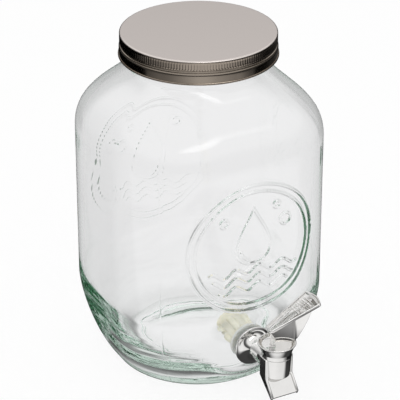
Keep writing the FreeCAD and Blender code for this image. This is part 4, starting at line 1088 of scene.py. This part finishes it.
def paddle_skin(lever):
    """The paddle: a flat section carried along its length, wider towards a bowed tip.

    Both faces fall away by a quarter circle at the sides and ends, the corners are drawn in the same way, and
    the upper face sinks to a panel inside its border, with ribs across it near the tip.
    """
    back, tip = lever.paddle_back, lever.paddle_tip
    ease = lever.edge * (1 - np.cos(np.linspace(0, math.pi / 2, 6)))
    fine = tip - lever.rib_start - lever.ribs * lever.rib_pitch
    along = np.concatenate([back + ease[:-1], np.linspace(back + lever.edge, fine, 40),
                            np.linspace(fine, tip - lever.edge, 84)[1:], tip - ease[-2::-1]])[:, None]
    to_end = np.minimum(along - back, tip - along)
    corner, panel_fall = 0.0016, 0.0004
    rib_gap, rib_fall, rib_share = 0.0011, 0.0003, 0.85
    near = np.clip(corner - to_end, 0, corner)
    half = lever.back_half + (lever.tip_half - lever.back_half) * (along - back) / (tip - back)
    half = half - (corner - np.sqrt(corner ** 2 - near ** 2))
    from_side = np.concatenate([ease, [0.0012], lever.border + np.linspace(0, panel_fall, 6),
                                lever.border + np.array([0.0008, 0.0011, 0.0012, 0.0013, 0.0014, 0.0018])])
    middle = np.linspace(-1, 1, 26)[1:-1]
    across = np.concatenate([from_side - half, (half - from_side[-1]) * middle, half - from_side[::-1]], 1)
    side = across / half
    to_side = np.minimum(half - np.abs(across), to_end)
    short = np.clip(lever.edge - to_side, 0, lever.edge)
    fall = lever.edge - np.sqrt(lever.edge ** 2 - short ** 2)
    bow = lever.tip_bow * (1 - side ** 2) * smooth((along - tip) / lever.rib_start + 1)
    inside = np.minimum(half - lever.border - np.abs(across), to_end - lever.border)
    sunk = smooth(inside / panel_fall)
    beside = np.clip((half - lever.border - rib_gap - np.abs(across)) / rib_fall, 0, 1)
    ribs = np.zeros_like(along)
    for rib in range(lever.ribs):
        from_rib = np.abs(along - (tip - lever.rib_start - rib * lever.rib_pitch))
        ribs = np.maximum(ribs, smooth((lever.rib_half + 0.0001 - from_rib) / rib_fall))
    upper = -fall - lever.panel_depth * sunk * (1 - rib_share * ribs * beside)
    lower = fall - lever.thickness + np.zeros_like(upper)
    run = np.concatenate([along + bow, (along + bow)[:, ::-1]], 1)
    rise = np.concatenate([upper, lower[:, ::-1]], 1)
    width = np.concatenate([across, across[:, ::-1]], 1)
    cos, sin = math.cos(lever.pitch), math.sin(lever.pitch)
    rows = np.stack([run * cos - rise * sin, BARREL_Y + width,
                     TAP_Z + lever.paddle_height + run * sin + rise * cos], -1)
    return skin(rows, "strips")


def arc_points(start, end, radius, count):
    """Points on an arc of that radius from start to end; a positive one bulges to the right."""
    start, end = np.array(start), np.array(end)
    chord = end - start
    half = np.linalg.norm(chord) / 2
    normal = np.array([chord[1], -chord[0]]) / (2 * half)
    centre = (start + end) / 2 - normal * math.copysign(math.sqrt(radius ** 2 - half ** 2), radius)
    first, last = start - centre, end - centre
    sweep = 2 * math.asin(half / abs(radius))
    share = np.linspace(0, 1, count)[:, None]
    return centre + (np.sin((1 - share) * sweep) * first + np.sin(share * sweep) * last) / math.sin(sweep)


def web_skin(lever):
    """The web under the paddle: its side outline carried through its thickness, which tapers towards the tip.

    The outline runs down the hollow rear face, along the foot, out over the collar's lip and up a bowed front
    to the tip, and back along the paddle. Its edges are drawn in on a quarter circle.
    """
    rear, tip = (-0.0078, 0.0313), (0.0278, 0.0472)
    foot_back, foot_front = (-0.0034, 0.01785), (0.0102, 0.01785)
    knee_back, knee_front = (0.0102, 0.0209), (0.0144, 0.0209)
    brow = (0.0268, 0.0364)
    hollow, bow = -0.018, 0.060
    lower = np.concatenate([
        arc_points(rear, foot_back, hollow, 18)[:-1],
        np.linspace(foot_back, foot_front, 14)[:-1],
        np.linspace(foot_front, knee_back, 5)[:-1],
        np.linspace(knee_back, knee_front, 6)[:-1],
        arc_points(knee_front, brow, bow, 18)[:-1],
        np.linspace(brow, tip, 9)[:-1],
    ])
    steps = np.linalg.norm(np.diff(lower, axis=0), axis=1)
    along = np.concatenate([[0], np.cumsum(steps)])
    reach = np.maximum.accumulate(lower[:, 0]) - lower[0, 0]
    share = 0.01 + 0.93 * reach / reach[-1] + 0.05 * along / along[-1]
    upper = np.array(rear) + (np.array(tip) - rear) * share[:, None] + (0, 0.0004)
    loop = np.concatenate([lower, upper[::-1]])
    lead = np.roll(loop, -1, 0) - loop
    lead /= np.linalg.norm(lead, axis=1)[:, None]
    after = np.stack([-lead[:, 1], lead[:, 0]], 1)
    before = np.roll(after, 1, 0)
    inward = (after + before) / np.maximum(1 + (after * before).sum(1), 0.6)[:, None]
    half = np.interp(loop[:, 0], (lever.web_taper, tip[0]), (lever.web_half, lever.web_tip_half))
    turn = np.linspace(0, math.pi / 2, 4)[:, None]
    draw = lever.web_bend * np.concatenate([[[1.5]], 1 - np.sin(turn)])
    side = half - lever.web_bend * np.concatenate([[[0]], 1 - np.cos(turn)])
    inset = np.concatenate([draw, draw[::-1]])[..., None] * inward
    depth = np.concatenate([-side, side[::-1]])
    flat = loop + inset
    return skin(np.stack([flat[..., 0], BARREL_Y + depth, TAP_Z + flat[..., 1]], -1), "strips")


def hub_skin(lever):
    """The hub disc with rounded edges, spun about the barrel."""
    profile = rounded([(0, lever.hub_foot, 0), (lever.hub_radius, lever.hub_foot, SOFT_ROUND),
                       (lever.hub_radius, lever.hub_top, 0.0006), (0, lever.hub_top, 0)], 5)
    return skin(spun(profile, 96), "poles")


def shank_skin(inlet):
    """The shank: a tube whose outside carries a screw thread, with a plain spigot at the tap's end.

    The thread is a raised cosine of the height along the shank less the turn about it, and so a helix.
    """
    columns, count, fade = 96, 120, 0.03
    shoulder, end = OUTER_WASHER_LOW.y, SHANK_HIGH.y
    root = inlet.shank_radius - inlet.thread_depth
    height = np.linspace(shoulder + 0.001, end - 0.0015, count)
    start = rounded([(inlet.waterway, SHANK_LOW.y, FINE_ROUND), (inlet.spigot_radius, SHANK_LOW.y, 0.0003),
                     (inlet.spigot_radius, shoulder, 0.0001), (root, shoulder, 0)], 3)
    finish = rounded([(root, end - 0.001, 0), (root, end, SOFT_ROUND), (inlet.waterway, end, 0.0005),
                      (inlet.waterway, end - 0.004, 0)], 3)
    rows = spun(np.concatenate([start, upright(inlet.shank_radius, height), finish]), columns, "inlet")
    wind = 0.5 + 0.5 * np.cos(TURN * height[:, None] / inlet.thread_pitch - full_turn(columns))
    stand = faded(np.linspace(0, 1, count)[:, None], fade)
    radius = inlet.shank_radius - inlet.thread_depth * (1 - wind * stand)
    respun(rows, slice(len(start), len(start) + count), radius)
    return skin(rows, "ring")


def nut_skin(inlet):
    """The lock nut: a round flange, then lobes: the eased greater of the core and each lobe's circle."""
    columns, ease, edge = 240, 0.0006, 0.0006
    rim = NUT_HIGH.x
    centre = rim - inlet.lobe_radius
    from_lobe = (full_turn(columns) + math.pi / inlet.lobes) % (TURN / inlet.lobes) - math.pi / inlet.lobes
    inside = inlet.lobe_radius ** 2 - (centre * np.sin(from_lobe)) ** 2
    lobe = np.where(inside > 0, centre * np.cos(from_lobe) + np.sqrt(np.maximum(inside, 0)), 0)
    lobed = ease * np.log(np.exp(inlet.nut_radius / ease) + np.exp(lobe / ease))
    lobed = np.minimum(lobed, rim)
    low, high, step = NUT_LOW.y, NUT_HIGH.y, NUT_LOW.y + inlet.nut_flange
    loop = rounded([(inlet.nut_bore, low, FINE_ROUND), (rim, low, 0.0003), (rim, step, SOFT_ROUND),
                    (0.6 * rim, step, 0)], 4)[:-1]
    bend = np.linspace(0.3, math.pi / 2, 5)
    plain = np.concatenate([[step, step + 0.0004], np.linspace(step + 0.0008, high - 0.0008, 6)])
    height = np.concatenate([plain, high - edge * (1 - np.sin(bend))])
    draw = np.concatenate([np.zeros(len(plain)), edge * (1 - np.cos(bend))])
    end = rounded([(0.95 * inlet.nut_radius, high, 0), (inlet.nut_bore, high, SOFT_ROUND),
                   (inlet.nut_bore, low + 0.001, 0)], 3)
    rows = spun(np.concatenate([loop, upright(rim, height), end]), columns, "inlet")
    respun(rows, slice(len(loop), len(loop) + len(height)), lobed - draw[:, None])
    return skin(rows, "ring")


class JAR_OT_glass(bpy.types.Operator):
    """Makes the glass with its raised design, seam, thread and tap hole"""

    bl_idname = "jar.glass"
    bl_label = "Glass jar"

    def execute(self, context):
        scene = context.scene
        finish = clear_glass(scene.jar_finishes.glass_depth)
        shell, normals = jar_skin(scene.jar_sizes, scene.jar_motif)
        make_piece("jar_glass", [shell], finish, "jar", ["glass_jar"], math.radians(60),
                   normals)
        return {"FINISHED"}


class JAR_OT_lid(bpy.types.Operator):
    """Makes the pressed lid with its knurled band"""

    bl_idname = "jar.lid"
    bl_label = "Lid"

    def execute(self, context):
        scene = context.scene
        shell = lid_skin(scene.jar_lid, scene.jar_sizes)
        finish = satin_sheet(scene.jar_finishes, scene.jar_lid)
        make_piece("pressed_lid", [shell], finish, "lid", ["lid_shell"], math.radians(50))
        return {"FINISHED"}


class JAR_OT_tap(bpy.types.Operator):
    """Makes the plated tap: flange and neck, barrel, side plates, spout and collar"""

    bl_idname = "jar.tap"
    bl_label = "Tap"

    def execute(self, context):
        scene = context.scene
        tap, colours = scene.jar_tap, scene.jar_finishes
        plate = chrome_plate(colours.chrome, colours.chrome_haze)
        body = [flange_skin(tap), barrel_skin(tap), side_plate_skin(tap, -1), side_plate_skin(tap, 1),
                front_plate_skin(tap)]
        make_piece("tap_moulding", body, plate, "jar", ["tap_body"])
        make_piece("flared_collar", [collar_skin(scene.jar_collar)], plate, "jar",
                   ["retaining_collar"])
        return {"FINISHED"}


class JAR_OT_lever(bpy.types.Operator):
    """Makes the lever: ribbed paddle, web and hub disc"""

    bl_idname = "jar.lever"
    bl_label = "Lever"

    def execute(self, context):
        lever = context.scene.jar_lever
        plate = bpy.data.materials["bright_plate"]
        skins = [paddle_skin(lever), web_skin(lever), hub_skin(lever)]
        make_piece("paddle_lever", skins, plate, "lever", ["lever_handle"])
        return {"FINISHED"}


class JAR_OT_inlet(bpy.types.Operator):
    """Makes the cream shank and lock nut inside the jar"""

    bl_idname = "jar.inlet"
    bl_label = "Inlet"

    def execute(self, context):
        scene = context.scene
        colours, inlet = scene.jar_finishes, scene.jar_inlet
        cream = moulded("cream_moulding", colours.cream, colours.cream_light, 0.38, 0.52, 70, 0.003)
        make_piece("threaded_shank", [shank_skin(inlet)], cream, "jar", ["inlet_shank"])
        make_piece("lobed_nut", [nut_skin(inlet)], cream, "jar", ["lock_nut"])
        return {"FINISHED"}


class JAR_OT_seals(bpy.types.Operator):
    """Finishes the liner, plug, washers and rings, whose solids already have their shape"""

    bl_idname = "jar.seals"
    bl_label = "Seals"

    def execute(self, context):
        colours = context.scene.jar_finishes
        darker = 0.9
        for name, base, low, high, scale, depth, solids in (
                ("foam_liner", colours.liner, 0.6, 0.75, 120, 0.0, ["lid_liner"]),
                ("white_moulding", colours.plug, 0.35, 0.5, 80, 0.0, ["valve_plug"]),
                ("milky_rubber", colours.milky, 0.45, 0.6, 90, 0.005, ["outer_washer", "inner_washer"]),
                ("black_rubber", colours.black, 0.4, 0.55, 150, 0.0, ["upper_o_ring", "lower_o_ring"])):
            finish = moulded(name, base, [darker * part for part in base], low, high, scale, depth)
            for solid in solids:
                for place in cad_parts[solid].material_slots:
                    place.material = finish
        return {"FINISHED"}


def stage_object(name, points, faces, finish):
    """A stage piece: floor or card."""
    mesh = bpy.data.meshes.new(name)
    mesh.from_pydata(points, [], faces)
    mesh.materials.append(finish)
    piece = bpy.data.objects.new(name, mesh)
    bpy.context.scene.collection.objects.link(piece)
    return piece


def pale_floor():
    """A pale floor: white to the eye, with a soft shadow.

    Behind glass it shows a painted shadow round the foot and painted falloff far out. Reflections see a
    painted
    reflection on it: strips that run towards the camera, with painted dark gaps between them and behind the
    jar.
    """
    finish, tree, shader = new_finish("pale_floor")
    tree.nodes.remove(shader)
    place, ray = object_place(tree), node(tree, "LightPath", {}).outputs
    cos, sin = math.cos(CAMERA_ROUND), math.sin(CAMERA_ROUND)
    across, depth = (node(tree, "VectorMath", {0: place, 1: way}, operation="DOT_PRODUCT").outputs["Value"]
                     for way in ((cos, -sin, 0), (sin, cos, 0)))
    far = node(tree, "VectorMath", {0: place}, operation="LENGTH").outputs["Value"]
    along = maths(tree, "MULTIPLY_ADD", across, 1 / STRIPS_WIDTH, 0.5)
    # Painted reflection: grey strips across the floor that only reflections see, near the jar and in front
    near = shades(tree, along, (
        (0.0, 0.1), (0.36, 0.8), (0.53, 0.95), (0.6, 0.8), (0.615, 0.25), (0.625, 0.12), (0.64, 0.33),
        (0.655, 0.35), (0.668, 0.95), (0.78, 1.0), (0.86, 0.5), (0.92, 0.55), (0.97, 0.06)))
    front = shades(tree, along, (
        (0.0, 0.12), (0.1, 0.2), (0.22, 0.38), (0.35, 0.6), (0.5, 0.85), (0.6, 0.85), (0.72, 0.65),
        (0.8, 0.55), (0.9, 0.4), (0.97, 0.06)))
    painted_reflection = chosen(tree, eased(tree, depth, -0.42, -0.3), front, near)
    # Painted shade in reflections: dark gaps beside the middle strip and on the floor close about the jar
    gap = maths(tree, "MAXIMUM", eased(tree, depth, -0.14, -0.112, 1.0, 0.06),
                eased(tree, along, 0.635, 0.66))
    painted_reflection = product(tree, painted_reflection, product(tree, gap, eased(tree, depth, -0.09, -0.03, 1.0, 0.06)))
    # Painted falloff through glass: the floor dims far out, and further after many passes
    deep = eased(tree, ray["Ray Depth"], *DEEP_SIGHT)
    behind = chosen(tree, deep, eased(tree, far, 0.4, 1.0, 0.87, 0.68),
                    eased(tree, far, 0.4, 1.0, 0.87, 0.34))
    # Painted shadow round the foot that glass looks through to, strong in front of the jar and faint behind
    # it
    foot = product(tree, eased(tree, far, 0.050, 0.063), eased(tree, far, 0.066, 0.09, 1.0, 0.0),
                   eased(tree, depth, -0.02, 0.05, -0.85, -0.12))
    behind = product(tree, behind, maths(tree, "ADD", foot, 1.0))
    eye, glossy, through = (ray[name] for name in ("Is Camera Ray", "Is Glossy Ray", "Is Transmission Ray"))
    look = chosen(tree, eye, chosen(tree, through, painted_reflection, behind), 1.05)
    bright = maths(tree, "MAXIMUM", product(tree, eye, 0.8), maths(tree, "MAXIMUM", glossy, through))
    white = node(tree, "Emission", {"Strength": look})
    matte = node(tree, "BsdfDiffuse", {"Color": (0.82, 0.82, 0.82, 1)})
    mix = node(tree, "MixShader", {"Fac": bright, 1: matte.outputs["BSDF"], 2: white.outputs["Emission"]})
    fill(tree, tree.nodes["Material Output"], {"Surface": mix.outputs["Shader"]})
    return finish


def black_card():
    """A card by the flange that only reflections see, from its front: black there, clear from behind. A
    painted dark reflection on the tap's side.
    """
    finish, tree, shader = new_finish("black_card")
    shader.inputs["Base Color"].default_value = (0.01, 0.01, 0.01, 1)
    side = node(tree, "NewGeometry", {})
    clear = node(tree, "BsdfTransparent", {})
    mix = node(tree, "MixShader", {"Fac": side.outputs["Backfacing"], 1: shader.outputs["BSDF"],
                                   2: clear.outputs["BSDF"]})
    fill(tree, tree.nodes["Material Output"], {"Surface": mix.outputs["Shader"]})
    left, right, y, top = -0.046, -0.0165, -0.0875, 0.046
    corners = [(left, y, 0), (right, y, 0), (right, y, top), (left, y, top)]
    card = stage_object("card", corners, [[0, 1, 2, 3]], finish)
    card.visible_camera = card.visible_diffuse = card.visible_transmission = card.visible_shadow = False


def studio_sky():
    """White to the eye, and an even dome on matte surfaces, brighter through glass.

    Bright surfaces reflect a dome that is dim near the horizon and bright above, with a soft strip in front.
    Glass looks through to a paler dome, whose horizon is grey, and darker after many passes.
    """
    world = bpy.data.worlds.new("studio")
    bpy.context.scene.world = world
    world.use_nodes = True
    tree = world.node_tree
    place, ray = node(tree, "TexCoord", {}), node(tree, "LightPath", {}).outputs
    parts = node(tree, "SeparateXYZ", {0: place.outputs["Generated"]}).outputs
    rise, back = parts["Z"], parts["Y"]
    studio = shades(tree, rise, ((0.0, 0.08), (0.2, 0.12), (0.33, 0.45), (0.45, 0.9), (1.0, 0.95)))
    deep = eased(tree, ray["Ray Depth"], *DEEP_SIGHT)
    pale = chosen(tree, deep, shades(tree, rise, ((0.0, 0.7), (0.25, 0.72), (0.5, 0.88), (0.62, 1.0))),
                  shades(tree, rise, ((0.0, 0.26), (0.25, 0.36), (0.5, 0.85), (0.62, 1.0))))
    strip = product(tree, eased(tree, rise, 0.68, 0.75), eased(tree, rise, 0.80, 0.88, 1.0, 0.0),
                    eased(tree, back, -0.62, -0.45, 1.0, 0.0))
    studio = maths(tree, "MULTIPLY_ADD", strip, 3.0, studio)
    light = chosen(tree, ray["Is Transmission Ray"], studio, pale)
    light = chosen(tree, ray["Is Glossy Ray"], 0.85, light)
    through = maths(tree, "MULTIPLY_ADD", ray["Is Transmission Ray"], 0.4, 0.85)
    light = chosen(tree, maths(tree, "MINIMUM", ray["Diffuse Depth"], 1.0), light, through)
    fill(tree, tree.nodes["Background"], {"Color": (1, 1, 1, 1),
                                          "Strength": chosen(tree, ray["Is Camera Ray"], light, 1.0)})


def soft_box(name, place, size, power):
    """A square lamp that looks at the jar."""
    lamp = bpy.data.lights.new(name, "AREA")
    lamp.size, lamp.energy = size, power
    box = bpy.data.objects.new(name, lamp)
    box.location = place
    box.rotation_euler = (Vector((0, 0, 0.12)) - Vector(place)).to_track_quat("-Z", "Y").to_euler()
    box.visible_glossy = box.visible_transmission = False
    bpy.context.scene.collection.objects.link(box)


class JAR_OT_stage(bpy.types.Operator):
    """Sets the floor, the card, the sky, the lamp and the camera"""

    bl_idname = "jar.stage"
    bl_label = "Stage"

    def execute(self, context):
        scene = context.scene
        turn = full_turn(FLOOR_SIDES)
        disc = np.stack([FLOOR_REACH * np.cos(turn), FLOOR_REACH * np.sin(turn),
                         np.full(FLOOR_SIDES, -FLOOR_DROP)], 1)
        stage_object("floor", disc.tolist(), [list(range(FLOOR_SIDES))], pale_floor())
        black_card()
        studio_sky()
        soft_box("key", (-0.5, -0.9, 1.3), 0.7, 4)
        level = math.cos(CAMERA_ABOVE)
        back = Vector((-math.sin(CAMERA_ROUND) * level, -math.cos(CAMERA_ROUND) * level,
                       math.sin(CAMERA_ABOVE)))
        camera = bpy.data.cameras.new("camera")
        camera.lens, camera.sensor_width = LENS, SENSOR
        camera.shift_x, camera.shift_y = SHIFT_X, SHIFT_Y
        camera.clip_start, camera.clip_end = 0.05, 20
        eye = bpy.data.objects.new("camera", camera)
        eye.location = Vector((0, 0, LID_HIGH.z / 2)) + back * CAMERA_AWAY
        eye.rotation_euler = (-back).to_track_quat("-Z", "Y").to_euler()
        scene.collection.objects.link(eye)
        scene.camera = eye
        scene.view_settings.view_transform = "Standard"
        # Fewer bounces cut off sight through the thick heel and leave it black in patches
        scene.cycles.max_bounces = LIGHT_BOUNCES
        scene.cycles.glossy_bounces = LIGHT_BOUNCES
        scene.cycles.transmission_bounces = LIGHT_BOUNCES
        return {"FINISHED"}


GROUPS = {"jar_sizes": JarSizes, "jar_motif": MotifSizes, "jar_lid": LidSizes, "jar_tap": TapSizes,
          "jar_collar": CollarSizes, "jar_lever": LeverSizes, "jar_inlet": InletSizes,
          "jar_finishes": Finishes}
OPERATORS = (JAR_OT_glass, JAR_OT_lid, JAR_OT_tap, JAR_OT_lever, JAR_OT_inlet, JAR_OT_seals, JAR_OT_stage)


class JAR_PT_panel(bpy.types.Panel):
    """Lists the makers and their sizes in the sidebar"""

    bl_label = "Glass jar dispenser"
    bl_idname = "JAR_PT_panel"
    bl_space_type = "VIEW_3D"
    bl_region_type = "UI"
    bl_category = "Jar"

    def draw(self, context):
        for operator in OPERATORS:
            self.layout.operator(operator.bl_idname)
        for group in GROUPS:
            box = self.layout.box()
            settings = getattr(context.scene, group)
            for name in settings.bl_rna.properties.keys():
                if name not in ("rna_type", "name"):
                    box.prop(settings, name)


CLASSES = (*GROUPS.values(), *OPERATORS, JAR_PT_panel)


def register():
    """Makes the classes and their settings known to Blender."""
    for cls in CLASSES:
        bpy.utils.register_class(cls)
    for name, group in GROUPS.items():
        setattr(bpy.types.Scene, name, bpy.props.PointerProperty(type=group))


def unregister():
    """Takes the settings and classes away again."""
    for name in GROUPS:
        delattr(bpy.types.Scene, name)
    for cls in reversed(CLASSES):
        bpy.utils.unregister_class(cls)


def main():
    """Makes every piece and the stage."""
    register()
    bpy.ops.jar.glass()
    bpy.ops.jar.lid()
    bpy.ops.jar.tap()
    bpy.ops.jar.lever()
    bpy.ops.jar.inlet()
    bpy.ops.jar.seals()
    bpy.ops.jar.stage()


if __name__ == "__main__":
    main()
